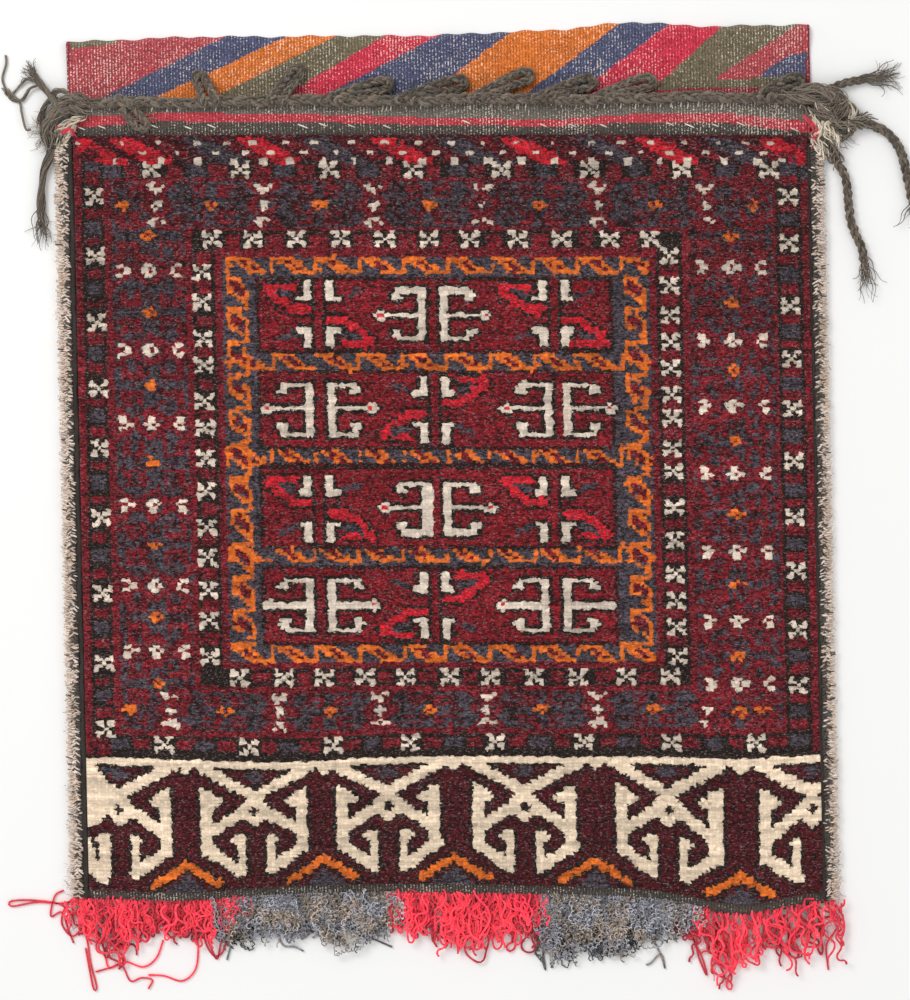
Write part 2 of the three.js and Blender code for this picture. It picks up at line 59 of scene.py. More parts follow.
MM = 0.001
BODY = "root"
UP = np.array((0.0, 0.0, 1.0))

# The bag's own sizes in metres, as its solids have them, before it is laid down
HALF_WIDTH = 0.2685
FOOT_Y = -0.3125
TOP_Y = 0.3125
MOUTH_Y = 0.2605
PILE_TOP_Y = 0.2365
PILE_FOOT_Y = -0.3055
PILE_X = 0.2592
WEAVE_THICKNESS = 0.0024
PILE_HEIGHT = 0.0046
POCKET_HEIGHT = 0.007
ROLL_WIDTH = 0.055
FACE_SEAT = 0.0027

# How far edges stray from straight, in metres: humps by height, middle and width; where the foot's stray
# begins and is full; and the middle and width of the lattice's
FOOT_HUMPS = ((0.011, 0.205, 0.045), (-0.004, -0.03, 0.13), (0.003, -0.2, 0.05))
FOOT_RAMP = (0.15, 0.30)
LATTICE_HUMPS = ((0.004, -0.12, 0.06), (-0.003, 0.22, 0.08))
LATTICE_REACH = (-0.215, 0.05)
FLAP_HUMPS = ((0.0045, 0.139, 0.035), (0.0015, -0.178, 0.05), (-0.0015, -0.01, 0.05))
FLAP_FOLD = 0.004

# Where the side lacing ends, and how far apart the ribs of the flat weave are drawn, in metres
LACING_TOP_Y = 0.232
RIB_PITCH = 0.0022

# Overcast sides: name, side, how far out it is shifted and how much of its chain is brown; then the yarns
# under the stitches by place, height and tone; then the rows of stitches by middle, reach, height, fall,
# slant and share of brown
LACED_SIDES = (
    ("left_side_lacing", -1, 0.0006, 0.9),
    ("right_side_lacing", 1, -0.0012, 1.4),
)
LACING_CORES = (
    (0.2660, 0.0064, 0.0), (0.2695, 0.0058, 0.02), (0.2726, 0.0050, 0.35), (0.2752, 0.0034, 0.5),
    (0.2742, 0.0021, 0.45),
)
LACING_ROWS = (
    (0.2702, 0.0028, 0.0078, 0.2, 0.0012, 0.42),
    (0.2728, 0.0030, 0.0069, 0.3, -0.0012, 0.26),
    (0.2758, 0.0040, 0.0056, 0.6, 0.0004, 0.04),
)
LACING_JITTER = 0.0006
LACING_ARCH = 0.0009
LACING_CORE_RADIUS = 0.0020
LACING_EDGE = (0.2765, 0.0042)
LACING_FIBRES = 170

# How the bag lies: leaning sides and a tilted mouth, both as slopes
SIDE_LEAN = 0.0215
MOUTH_TILT = 0.024

# The pattern is drawn in units of 0.72 mm, counted to the right and down, and rounded to knots
UNIT = 0.00072
UNIT_LEFT = 447.0
UNIT_TOP = 465.0
PATTERN_SEED = 7
STRAY_KNOTS = 0.022
KNOT_COLUMNS = 200
KNOT_ROWS = 228
CHART_LEFT = 79.5
CHART_RIGHT = 814.5
CHART_TOP = 135.0
CHART_FOOT = 890.0
FAR = 999
KNOT_WIDTH = (CHART_RIGHT - CHART_LEFT) / KNOT_COLUMNS
KNOT_DEPTH = (CHART_FOOT - CHART_TOP) / KNOT_ROWS

# The pile's wools, with how far each stands above the worn ground in metres
WOOLS = ("ground", "red", "scarlet", "orange", "ivory", "blue", "brown", "madder", "cream")
BRIGHT_WOOLS = ("scarlet", "orange", "ivory", "cream")
WOOL_RISE = (0.0, 0.0001, 0.0003, 0.0003, 0.0006, -0.0001, -0.0006, 0.0, 0.0006)

# Points across each flat weave
WEAVE_COLUMNS = 341

# Unevenness and downward lean of the knots' tips in metres, how far knots and rows differ in shade and its
# limits, how much of its own colour a bright knot's side keeps, and how many knots one face of the pile's
# back spans across and down
TIP_UNEVEN = 0.00022
TIP_LEAN = 0.0004
KNOT_SHADE = 0.10
ROW_SHADE = 0.035
SHADE_LIMITS = (0.6, 1.4)
BRIGHT_KEEPS = 0.6
BACK_ACROSS, BACK_DOWN = 8, 12

# Nested frames of the pattern, from the outside in: left, top, right, foot and wool; then the lines above
# and below the borders, the field's sides and edge, where one dye lot ends, and the compartments by top and
# foot
BORDER_FRAME = (116, 182, 776, 728.5)
BORDER_HOLE = (191, 229, 694.5, 690)
FRAMES = (
    (81, 135, 816, 757, "red"),
    (87, 135, 808.5, 753, "brown"),
    (87, 135, 808.5, 163, "ground"),
    (109.5, 178, 782.5, 733, "red"),
    (*BORDER_FRAME, "blue"),
    (*BORDER_HOLE, "red"),
    (198, 232.5, 686, 685.5, "brown"),
    (217.5, 248.5, 661, 667.5, "red"),
    (225, 256, 654.5, 662.5, "blue"),
)
PILE_HEADING = 137
BORDER_FOOT = 753
LATTICE_HEADING = 757
FIELD_LEFT, FIELD_RIGHT = 259, 617
FIELD_EDGE = 4
DYE_LOT_MIDDLE, DYE_LOT_HALF = 443, 252
DYE_LOT_TOP, DYE_LOT_END = 229, 335
COMPARTMENTS = ((281, 351), (374, 446), (467, 546), (567, 642))

# Vine about the compartments: middle lines of its runs, where they start and end, and the lines and leaf of
# one repeat
VINE_WIDTH = 3.5
VINE_ROWS = (265, 361, 456, 555, 652)
VINE_ROW_ENDS = (FIELD_LEFT - 30, FIELD_RIGHT + 10)
VINE_ROW_BOX = (227, 0, 652, FAR)
VINE_UNIT = 43.6
VINE_ROW_LINES = (((0, 7), (0, -7), (17, -7), (36, 7)), ((7, -4), (23, 7), (VINE_UNIT, 7)))
VINE_ROW_LEAF = ((9, -5), (18, -5), (33, 6), (23, 6))
VINE_COLUMNS = (241, 638)
VINE_COLUMN_ENDS = (276, 640)
VINE_STEP = 33.5
VINE_COLUMN_LINES = (
    ((-10, 0), (-10, 14), (9, 27)),
    ((-10, 2), (0, 3), (9, 13), (9, 32), (-10, VINE_STEP + 1)),
)
VINE_COLUMN_LEAF = ((-7, 6), (-1, 6), (7, 14), (7, 22), (-7, 13))

# Guards: blocks between two crosses by share of the way, wool and half sizes along and across; then each
# run by its line, upright or level, blocks, how many of its first and last places have no cross, and its
# places
GUARD_BLOCKS = {
    "outer row": ((0.25, "red", 8, 5.5), (0.5, "blue", 9, 5.5), (0.75, "red", 8, 5.5)),
    "outer column": ((0.27, "red", 4.5, 8.5), (0.5, "blue", 6, 8.5), (0.73, "red", 4.5, 8.5)),
    "inner row": ((0.5, "red", 8, 5.5),),
    "inner column": ((0.5, "red", 5.5, 8.5),),
}
GUARD_RUNS = (
    (171, False, "outer row", (1, 1), (70, 154, 240, 328, 412, 500, 589, 682, 769, 852)),
    (743, False, "outer row", (1, 1), (80, 164, 248, 332, 412, 495, 585, 671, 757, 843)),
    (240.5, False, "inner row", (0, 0), (213, 254, 296, 341, 386, 429, 471, 516, 563, 608, 651)),
    (676, False, "inner row", (0, 0), (241, 283, 325, 364, 407, 449, 491, 535, 580, 627, 670)),
    (98, True, "outer column", (1, 1), (137, 197, 257, 321, 387, 447, 518, 594, 663, 730, 797)),
    (795, True, "outer column", (1, 1), (140, 195, 244, 304, 358, 409, 462, 517, 571, 629, 685, 741)),
    (208, True, "inner column", (1, 0), (
        242, 272, 303, 339, 366, 402, 429, 459, 492, 526, 557, 591, 620, 657,
    )),
    (673, True, "inner column", (0, 0), (
        256, 287, 314, 341, 368, 394, 419, 448, 472, 506, 541, 574, 600, 626, 655,
    )),
)

# Main border: each run's middle line, half its width, upright or level, the places of its rows of white
# diamonds, and those of the orange dots between them
BORDER_RUNS = (
    (205, 23, False, (157, 264, 374, 482, 598, 705), (122, 212, 319, 430, 540, 653, 752)),
    (709, 19, False, (172, 279, 380, 487, 598, 708), (130, 226, 330, 430, 542, 653, 763)),
    (153.5, 37, True, (271, 350, 424, 505, 585, 650), (236, 312, 386, 463, 545, 617, 684)),
    (735, 40, True, (267, 341, 405, 474, 551, 621, 685), (236, 303, 370, 440, 514, 584, 656, 712)),
)
BORDER_ZIGZAG = ((-36, 15), (-17, 2), (0, 14), (17, 2), (36, 15))
BORDER_DRAWN_HALF = 37

# Compartment motifs: row middle, then the middles of the left, centre and right motif
MOTIF_ROWS = (
    (315, 319, 433, 553),
    (409, 320, 434, 558),
    (508, 320.5, 438, 556),
    (605, 322, 434, 556),
)

# Lattice of the panel at the foot
LATTICE_CROSSINGS = (119, 254.6, 388, 524, 667.5, 812)
LATTICE_COLUMNS = (52, 186, 324, 454, 595, 740)
LATTICE_LEFT_END = (
    ((70, 757), (80, 757), (110, 792), (104, 811), (82, 822), (70, 822)),
    ((70, 834), (82, 838), (88, 858), (96, 866), (96, 887), (70, 862)),
    ((92, 836), (99, 836), (99, 886), (92, 880)),
)
LATTICE_CROSSING_Y = 793
LATTICE_TOP_Y = 760
CHEVRON_Y = 862

# Slanting stripes of the mouth end: wool, half their reach across and down, width, and their middles
SLANT_Y = 152
SLANT_BOX = (84, 138.5, 812, 166)
SLANTS = (
    ("red", 20, 11, 6, (178, 245, 305, 370, 437, 502, 572, 640, 704, 764)),
    ("blue", 24, 13, 15, (216, 335, 470, 609, 737)),
    ("scarlet", 24, 13, 15, (97, 142, 271, 403, 535, 668, 790)),
)

# Stripes of the flap, in pattern units on the lying bag: each edge's place at the top and at the mouth, then
# the patches over them by dye, strength and outline
STRIPE_ORDER = (
    "rose", "blue", "orange", "olive", "crimson", "blue", "orange", "blue", "crimson", "olive", "rose",
)
STRIPE_EDGES = (
    (215, 107), (279, 160), (331, 218), (383, 284), (438, 325), (508, 427), (609, 525), (661, 575),
    (720, 647), (795, 691),
)
STRIPE_MOUTH_Y = 93
STRIPE_SLANT = 1.75
FLAP_LEFT = 66
FLAP_SPAN = 747
FLAP_TOP_LEFT_Y = 43
FLAP_EDGE_STRENGTH = 0.6
FLAP_PATCHES = (
    ("olive", 1, ((60, 36), (122, 36), (110, 43), (68, 48), (60, 48))),
    ("blue", 1, ((757, 77), (776, 62), (792, 53), (820, 49), (820, 77))),
    ("olive", 1, ((640, 86), (690, 78), (820, 75), (820, 84), (640, 92))),
    ("rose", 0.7, ((640, 88), (820, 84), (820, 95), (640, 99))),
)

# The mouth band: its upper edge in metres, then its red stripe by places along it, middle line and half its
# width, in pattern units
BAND_MOUTH_Y = 0.266
BAND_STRIPE_X = (60, 100, 160, 330, 450, 560, 650, 720, 820)
BAND_STRIPE_Y = (123, 120, 117, 118.5, 122, 122.5, 117.5, 117.5, 127)
BAND_STRIPE_HALF = (6, 5, 4.5, 4, 3.6, 3.4, 4.4, 4.6, 6)

# Plaits: how many strands and yarns; as shares of the diameter, how far strands swing and lift, how far
# yarns lie from a strand's middle, and a yarn's radius. Hairs, in metres: spread of their roots, how high
# they may rest, their lowest place and the thickness of wisps. Stray hairs of the mouth cord: how many
# pairs, and their reach and lowest place in metres
PLAIT_STRANDS = 3
STRAND_YARNS = 5
PLAIT_SWING = 0.27
PLAIT_LIFT = 0.15
STRAND_RADIUS = 0.13
YARN_RADIUS = 0.105
HAIR_ROOT_SPREAD = 0.0013
HAIR_REST = 0.004
HAIR_LOWEST = 0.0007
WISP = 0.0005
STRAY_PAIRS = 150
STRAY_REACH = 0.010
STRAY_LOW = 0.0115

# Running stitches on the mouth band, in metres: each row's line and pitch, and how far a stitch reaches
# across and along the bag
STITCH_ROWS = ((0.2585, 0.0075, 0.0006, 0.0042), (0.2440, 0.0200, 0.0058, -0.0024))
STITCH_END = 0.262
STITCH_RADIUS = 0.00055
STITCH_POINTS = 7
STITCHES_WORN = 0.3

# What starts the random draws of each group of pieces
LOOP_SEED = 20
CORD_SEED = 70
KNOT_SEED = 80
LACING_SEED = 90
FRINGE_SEED = 100
PILE_SEED = 3
STITCH_SEED = 11
STRIPE_SEED = 17

# Mouth cord and closing loops, in millimetres before the bag is laid down; each loop by its root, angle and
# length
CORD_Y = 262.5
CORD_DIAMETER = 8.5
CORD_END = 266.5
CORD_SEAT = 0.6
CORD_PITCH = 24.0
CORD_POINTS = 80
BRAID_DIAMETER = 7.0
BRAID_PITCH = 19.0
LOOP_SPACING = 10.0
LOOP_HALF_WIDTH = 3.4
LOOP_REST_Z = 6.2
LOOP_OVERLAP = 2.5
LOOPS = (
    (-170, 118, 20),
    (-121, 54, 27),
    (-81, 12, 42),
    (-28, 12, 43),
    (24, 21, 40),
    (70, 13, 38),
    (113, 13, 38),
    (229, 16, 29),
)

# Loose ties: name, form, seed, diameter where it isn't the braids' own, hairs in the body and at the end,
# reach and fan of the end in metres and radians, and the route in millimetres before the bag is laid down;
# then how many points before the end of each form its loose hairs start
TIES = (
    ("right_upper_tie", "braid", 40, None, 0, 60, 0.028, 0.14, (
        (266.8, 263, 11), (271.5, 264, 10), (281, 268, 8), (291, 272, 5.6), (300, 274, 4), (308, 275, 3.7),
    )),
    ("right_middle_tie", "braid", 41, 0.0075, 0, 26, 0.022, 0.3, (
        (303.1, 247.5, 5), (307, 247.5, 5), (314, 244, 4.6), (321, 241, 4.1), (327, 236, 4),
        (332, 228, 3.9), (335.5, 216, 3.9), (338, 203, 3.9), (341, 189, 3.9),
    )),
    ("right_lower_tie", "braid", 42, None, 0, 26, 0.030, 0.25, (
        (285.8, 223.2, 5), (286, 219, 5), (291.5, 210, 4.2), (293.5, 199, 3.8), (294.3, 188, 3.7),
        (295.5, 177, 3.7), (299, 166, 3.7), (303, 157, 3.7), (304.5, 147, 3.7),
    )),
    ("left_upper_tuft", "hair", 50, 0.0060, 60, 30, 0.014, 0.35, (
        (-266.8, 257.5, 9.9), (-271.5, 257.5, 9.9), (-277, 264, 9), (-283, 272.5, 7), (-288, 279.5, 5),
        (-292, 285, 3.9),
    )),
    ("left_lower_tuft", "hair", 51, 0.0070, 46, 30, 0.026, 0.2, (
        (-281.8, 227.7, 5), (-282, 223.5, 5), (-286.5, 213, 4.2), (-288, 204, 3.8), (-289, 194, 3.7),
        (-289.5, 182, 3.7),
    )),
)
TIE_TAIL = {"braid": 2, "hair": 3}
TIE_POINTS = 60
LEFT_YARN_DIAMETER = 0.0018
LEFT_YARN_END = (
    (-295.2, 243, 5), (-299, 243.5, 4.8), (-302, 257, 3), (-303, 264, 1.9), (-307, 270, 1.6),
    (-312.5, 275, 1.6), (-315.4, 284, 1.6), (-312.5, 296, 1.6), (-312.6, 303, 1.6),
)

# Folded braid that hangs in front of the mouth cord: places in pattern units with heights in millimetres,
# diameter in metres, and heading, reach and lowest place of its loose hairs.
# Tangles at the corners: each wool's ending, material and slot; how they fray and differ in shade; the
# directions of their wisps, and these by wool, reach in metres, number and curl; then each bundle's wool,
# places, radius in millimetres and number of strands
MOUTH_TUFT = (
    (116, 97, 16.5), (127, 102, 16.5), (139, 113, 15), (148, 126, 14), (142, 130, 14), (131, 121, 14.5),
    (121, 109, 15.5),
)
MOUTH_TUFT_DIAMETER = 0.0062
MOUTH_TUFT_HEADING = (0.6, -1)
MOUTH_TUFT_REACH = 0.013
MOUTH_TUFT_LOW = 0.0125
TANGLE_WOOLS = {
    "dark": ("hair", "Goat hair", "goat_hair"),
    "pale": ("pale_yarn", "Undyed wool yarn", "lacing_yarn"),
    "red": ("red_yarn", "Red yarn ends", "red_fringe_yarn"),
}
TANGLE_FRAY = 1.3
TANGLE_SHADES = (0.0, 1.5)
TANGLE_TURNS = 9
TANGLE_TURN = 0.7
TANGLE_WISPS = (("dark", 0.020, 7, 0.5), ("pale", 0.017, 5, 0.7))
TANGLES = (
    ("left_corner_knot", (
        ("dark", (
            (82, 101, 12), (70, 99, 11), (58, 106, 9), (50, 118, 7), (47, 131, 5), (53, 141, 3),
        ), 3.6, 70),
        ("dark", ((80, 112, 11), (66, 110, 9), (55, 118, 8), (50, 128, 6), (60, 137, 4)), 3.0, 50),
        ("dark", ((60, 100, 8), (52, 98, 6), (44, 104, 4), (40, 116, 2.5), (42, 131, 1.6)), 1.8, 24),
        ("dark", ((72, 98, 10), (63, 91, 9), (54, 92, 8), (49, 99, 6)), 1.5, 20),
        ("dark", ((33, 80, 4), (25, 78, 3), (17, 85, 2), (9, 92, 1.5), (3, 86, 1.5)), 1.0, 9),
        ("dark", ((36, 84, 4), (28, 88, 3), (20, 98, 2), (11, 97, 1.5), (6, 90, 1.5)), 1.0, 8),
        ("pale", ((76, 120, 9), (65, 124, 8), (57, 133, 6), (63, 144, 3)), 2.6, 26),
        ("pale", ((72, 128, 8), (66, 136, 7), (60, 147, 5), (66, 156, 4)), 2.2, 20),
        ("red", ((57, 127, 8), (62, 133, 8), (67, 130, 8), (74, 133, 8)), 1.4, 9),
    )),
    ("right_corner_knot", (
        ("dark", (
            (798, 93, 14), (813, 89, 13), (826, 93, 12), (834, 101, 10), (828, 110, 9), (818, 108, 10),
        ), 3.6, 70),
        ("dark", (
            (790, 96, 14), (806, 99, 14), (822, 99, 11), (834, 96, 10), (842, 103, 8), (840, 114, 6),
        ), 3.2, 50),
        ("dark", ((815, 112, 9), (828, 118, 9), (842, 124, 8), (856, 122, 6), (866, 120, 5)), 3.2, 46),
        ("dark", ((818, 120, 8), (824, 134, 7), (832, 146, 5), (838, 158, 4)), 3.0, 40),
        ("dark", ((840, 112, 8), (848, 106, 8), (856, 110, 6), (854, 124, 5), (844, 134, 5)), 2.4, 34),
        ("pale", ((820, 106, 11), (830, 116, 9), (826, 128, 8), (837, 137, 6)), 3.0, 30),
        ("pale", ((838, 110, 9), (847, 104, 9), (854, 112, 7), (850, 126, 6)), 2.0, 20),
        ("pale", ((814, 116, 10), (820, 128, 9), (816, 140, 8), (824, 150, 7)), 2.2, 22),
        ("red", ((806, 118, 11), (812, 124, 10), (816, 132, 9), (813, 139, 9)), 1.6, 12),
    )),
)

# Fringe groups: name, wool, left and right end along the foot, how far apart the strands start, and how long
# they hang from the left end to the right, in millimetres
FRINGE_GROUPS = (
    ("red_fringe_left", "red", -277, -152, 1.1, (24, 40, 26, 33, 13)),
    ("grey_fringe_left", "grey", -170, -44, 0.42, (31, 34, 30, 37, 30)),
    ("red_fringe_middle", "red", -50, 66, 1.05, (26, 40, 42, 40, 28)),
    ("grey_fringe_right", "grey", 60, 177, 0.40, (42, 46, 46, 31, 15)),
    ("red_fringe_right", "red", 162, 274, 2.0, (22, 52, 46, 46, 40)),
)

# Strands of each wool: waves, swing, coil in millimetres, share that turns back as loops, points and sides.
# Then, in metres, the thickness of loose fibres and the heights of roots, lowest strands and those above
# them; the width of a lock and pitch of a coil in millimetres; and how far a strand may stray, in metres
FRINGE_STRANDS = {
    "red": (3.0, 0.95, 0.0, 0.6, 50, 5),
    "grey": (2.0, 0.8, 1.15, 0.15, 84, 3),
}
FRINGE_FUZZ = 0.00045
FRINGE_ROOT_Z = 0.005
FRINGE_LOW = 0.0012
FRINGE_PILED = 0.0062
LOCK_WIDTH = 6.0
COIL_PITCH = 3.8
STRAND_STRAY = 0.013

# Long strands that have come loose from the fringe: height in millimetres, radius in metres, and their
# places in pattern units
LONG_STRAND_HEIGHT = 1.4
LONG_STRAND_RADIUS = 0.0007
LONG_STRAND_POINTS = 60
LONG_STRANDS = {
    "red_fringe_left": (
        ((80, 900), (60, 905), (35, 904), (10, 908), (9, 903), (30, 902), (58, 906), (72, 918)),
        ((62, 892), (53, 898), (49, 918), (60, 914), (66, 930), (72, 945)),
        ((76, 896), (64, 908), (60, 925), (70, 938), (80, 930), (86, 915)),
        ((80, 920), (86, 945), (89, 965), (95, 989), (92, 991), (88, 972), (84, 950)),
        ((96, 935), (95, 952), (103, 957), (108, 970), (124, 964), (142, 969), (155, 960), (162, 942)),
        ((94, 974), (108, 970), (120, 967), (129, 983), (140, 980), (151, 982), (147, 991)),
        ((194, 925), (197, 950), (194, 972), (181, 983), (163, 978), (147, 977)),
        ((207, 925), (204, 942), (212, 957), (221, 955), (226, 938), (222, 925)),
        ((214, 922), (206, 935), (210, 950), (216, 961), (220, 945), (226, 930)),
    ),
    "grey_fringe_left": (
        ((256, 930), (248, 939), (232, 942), (229, 951), (226, 962)),
        ((276, 928), (279, 941), (284, 948), (294, 949), (303, 953)),
        ((322, 928), (331, 937), (343, 942), (348, 951)),
        ((312, 928), (309, 936), (301, 941), (304, 930), (314, 922), (318, 934), (312, 940)),
        ((366, 938), (378, 943), (392, 949)),
    ),
    "grey_fringe_right": (
        ((538, 925), (542, 946), (546, 972), (543, 958), (552, 948), (558, 961)),
        ((648, 932), (657, 947), (663, 960), (666, 971), (662, 956), (652, 965), (647, 967)),
    ),
    "red_fringe_right": (
        ((686, 925), (696, 945), (700, 960), (708, 978), (704, 962), (694, 940)),
        ((720, 925), (728, 945), (738, 962), (732, 975), (726, 958), (716, 935)),
        ((806, 902), (826, 912), (842, 920), (836, 934), (828, 948), (830, 972)),
        ((812, 898), (828, 905), (838, 908), (845, 918)),
    ),
}

# Yarns: colour, second tint, roughness, sheen, how far strands differ, mottling and depth of the fibres
FIBRE_ROUGHNESS = 0.62
YARN_LOOKS = {
    # Coarse and slightly glossy, with paler and browner hairs among the dark
    "Goat hair": ("goat_hair", "goat_hair_brown", 0.8, 0.25, 0.5, 0.4, 0.0007),
    # Soft and matt, in the pale shades of the fleece
    "Undyed wool yarn": ("undyed", "warp", 0.9, 0.2, 0.25, 0.2, 0.0005),
    # Matt, a little faded
    "Red yarn ends": ("stripe_crimson", "stripe_rose", 0.9, 0.2, 0.2, 0.15, 0.0005),
    # Smooth, nearly white and even
    "White cotton stitches": ("stitches", "warp", 0.85, 0.1, 0.15, 0.12, 0.0003),
    # Matt, with strands from nearly black to pale
    "Overcast wool and cotton yarn": ("lacing", "lacing_brown", 0.9, 0.15, 0.95, 0.25, 0.0006),
    # Bright, with light caught on its turns
    "Two-ply red yarn": ("fringe_red", "fringe_crimson", 0.8, 0.25, 0.45, 0.3, 0.0006),
    # Very matt and fuzzy, from dark grey to nearly white
    "Curly grey wool": ("fringe_grey", "fringe_brown", 0.95, 0.2, 0.85, 0.5, 0.0006),
}

# Stage: lamps by name, place, size and power; floor and sky; the view's middle and height in pattern units,
# and its level above the floor and the camera's distance in metres
LAMPS = (
    ("key_lamp", (-1.5, 1.3, 2.3), 1.4, 40.0),
    ("fill_lamp", (1.6, -1.2, 2.2), 2.0, 12.0),
)
FLOOR_SIZE = 8
SKY_STRENGTH = 0.67
VIEW_MIDDLE = (455, 500)
VIEW_HEIGHT = 1000
VIEW_LEVEL = 0.012
CAMERA_DISTANCE = 2.4
CAMERA_SENSOR = 36
CAMERA_REACH = 50


def linear(code):
    """Linear colour of an sRGB hex value."""
    parts = [int(code[i:i + 2], 16) / 255 for i in (1, 3, 5)]
    return tuple(p / 12.92 if p <= 0.04045 else ((p + 0.055) / 1.055) ** 2.4 for p in parts)


def colour_setting(name, description, code):
    """A colour that a user can change."""
    return bpy.props.FloatVectorProperty(
        name=name, description=description, subtype="COLOR", size=3, min=0, max=1, default=linear(code),
    )


def length_setting(name, description, metres):
    """A size that a user can change."""
    return bpy.props.FloatProperty(
        name=name, description=description, default=metres, min=0.0001, unit="LENGTH", precision=5,
    )


class TentBagColours(bpy.types.PropertyGroup):
    """Dyes and natural wools of the bag."""

    ground: colour_setting("Ground", "Dark madder of the pile's ground", "#62161e")
    red: colour_setting("Red", "Medium red of guard lines and blocks", "#93202c")
    scarlet: colour_setting("Scarlet", "Bright red of horns and slanting stripes", "#ea2436")
    orange: colour_setting("Orange", "Orange of the vine and dots", "#f4792a")
    ivory: colour_setting("Ivory", "Undyed wool of combs, crosses and lattice", "#ead8c6")
    blue: colour_setting("Blue", "Grey blue of the border ground", "#58505a")
    brown: colour_setting("Brown", "Dark brown of outlines and guard ground", "#30251e")
    cream: colour_setting("Cream", "Undyed wool of the lattice", "#f8e0c4")
    madder: colour_setting("Madder", "Deep red of the compartments and lattice ground", "#9d1c28")
    stripe_rose: colour_setting("Dusty red stripe", "Broad faded stripe of the flat weave", "#ad4a50")
    stripe_blue: colour_setting("Blue stripe", "Blue stripe of the flat weave", "#51546f")
    stripe_orange: colour_setting("Orange stripe", "Orange stripe of the flat weave", "#d47334")
    stripe_olive: colour_setting("Olive stripe", "Grey olive stripe of the flat weave", "#716752")
    stripe_crimson: colour_setting("Crimson stripe", "Bright stripe of the flat weave", "#c8384c")
    lacing: colour_setting("Lacing", "Pale yarn of the overcast sides", "#ead8ca")
    goat_hair: colour_setting("Goat hair", "Dark hair of the braids and ties", "#6a6155")
    fringe_red: colour_setting("Red fringe", "Bright yarn of the fringe", "#fa4456")
    fringe_grey: colour_setting("Grey fringe", "Grey wool of the fringe", "#87878e")
    pile_gap_shadow: colour_setting("Pile gaps", "Shadow between the tufts of the pile", "#170d0c")
    pile_dust: colour_setting("Pile dust", "Stray pale fibres on the pile", "#a8999a")
    warp: colour_setting("Warp", "Pale warp that shows between the wefts", "#d3c8ba")
    band_grey: colour_setting("Band grey", "Grey brown of the flat-woven bands", "#6f6960")
    band_dark: colour_setting("Band dark", "Dark brown of the flat-woven bands", "#504a44")
    band_red: colour_setting("Band red", "Red stripe of the mouth band", "#b8404a")
    stitches: colour_setting("Stitches", "White cotton of the running stitches", "#e4ddcf")
    undyed: colour_setting("Undyed yarn", "Pale yarn in the corner knots", "#c9bda9")
    lacing_brown: colour_setting("Lacing brown", "Browner patches of the overcast sides", "#d8c2b0")
    goat_hair_brown: colour_setting("Brown hair", "Browner goat hair", "#6d6054")
    fringe_crimson: colour_setting("Crimson fringe", "Deeper patches of the red fringe", "#e0364c")
    fringe_brown: colour_setting("Brown fringe", "Browner patches of the grey fringe", "#8d8177")
    floor: colour_setting("Floor", "Plain pale floor", "#f6f6f5")


class TentBagSizes(bpy.types.PropertyGroup):
    """Sizes of the yarns and of the weaving's relief."""

    furrow: length_setting("Furrow", "Depth of the furrows between knots", 0.0009)
    knot_play: length_setting("Knot play", "How far a knot strays from its place", 0.0005)
    cord_diameter: length_setting("Mouth cord", "Thickness of the braid along the mouth", CORD_DIAMETER * MM)
    braid_diameter: length_setting("Braids", "Thickness of the loops and ties", BRAID_DIAMETER * MM)
    red_yarn: length_setting("Red yarn", "Thickness of the red fringe yarn", 0.0016)
    grey_yarn: length_setting("Grey yarn", "Thickness of the grey fringe yarn", 0.0011)
    hair: length_setting("Hair", "Thickness of a strand of goat hair", 0.0008)
    stitch: length_setting("Stitch", "Thickness of the overcast yarn", 0.0013)


def smoothstep(value, low, high):
    """0 below low, 1 above high, and a smooth ramp between."""
    share = np.clip((np.asarray(value, float) - low) / (high - low), 0, 1)
    return share * share * (3 - 2 * share)


def lay(points):
    """Lays straight-built points down as the bag lies."""
    laid = np.array(points, float)
    share = np.clip((laid[..., 1] - PILE_TOP_Y) / (TOP_Y - PILE_TOP_Y), 0, 1)
    x = laid[..., 0].copy()
    laid[..., 0] -= SIDE_LEAN * laid[..., 1]
    laid[..., 1] += MOUTH_TILT * x * share
    return laid


def chart_place(points):
    """Places on the lying bag, in pattern units to the right and down."""
    return UNIT_LEFT + points[..., 0] / UNIT, UNIT_TOP - points[..., 1] / UNIT


def spots(*places):
    """Points in metres from places in pattern units with a height in millimetres."""
    return np.array([((x - UNIT_LEFT) * UNIT, (UNIT_TOP - y) * UNIT, z * MM) for x, y, z in places])


def swell(x, middle, width):
    """A soft hump of height 1."""
    return np.exp(-(((x - middle) / width) ** 2))


def humps(x, table):
    """Sum of soft humps, each by height, middle and width."""
    return sum(height * swell(x, middle, width) for height, middle, width in table)


def foot_drop(x):
    """How far the weaving's foot hangs below a straight line."""
    return humps(x, FOOT_HUMPS)


def wander(x, y):
    """How far the cloth strays down from straight, as a handmade weaving does."""
    foot = smoothstep(-y, *FOOT_RAMP)
    return foot * foot_drop(x) + swell(y, *LATTICE_REACH) * humps(x, LATTICE_HUMPS)


def face_under(x, y):
    """Underside of the face: low at the seams, full over the pocket."""
    across = smoothstep(PILE_X - np.abs(x), 0, ROLL_WIDTH)
    along = smoothstep(y - PILE_FOOT_Y, 0, ROLL_WIDTH)
    return FACE_SEAT + POCKET_HEIGHT * across * along


def band_top(x):
    """Top of the mouth band, in millimetres, for a place in millimetres."""
    return float(face_under(x * MM, MOUTH_Y) + WEAVE_THICKNESS) / MM


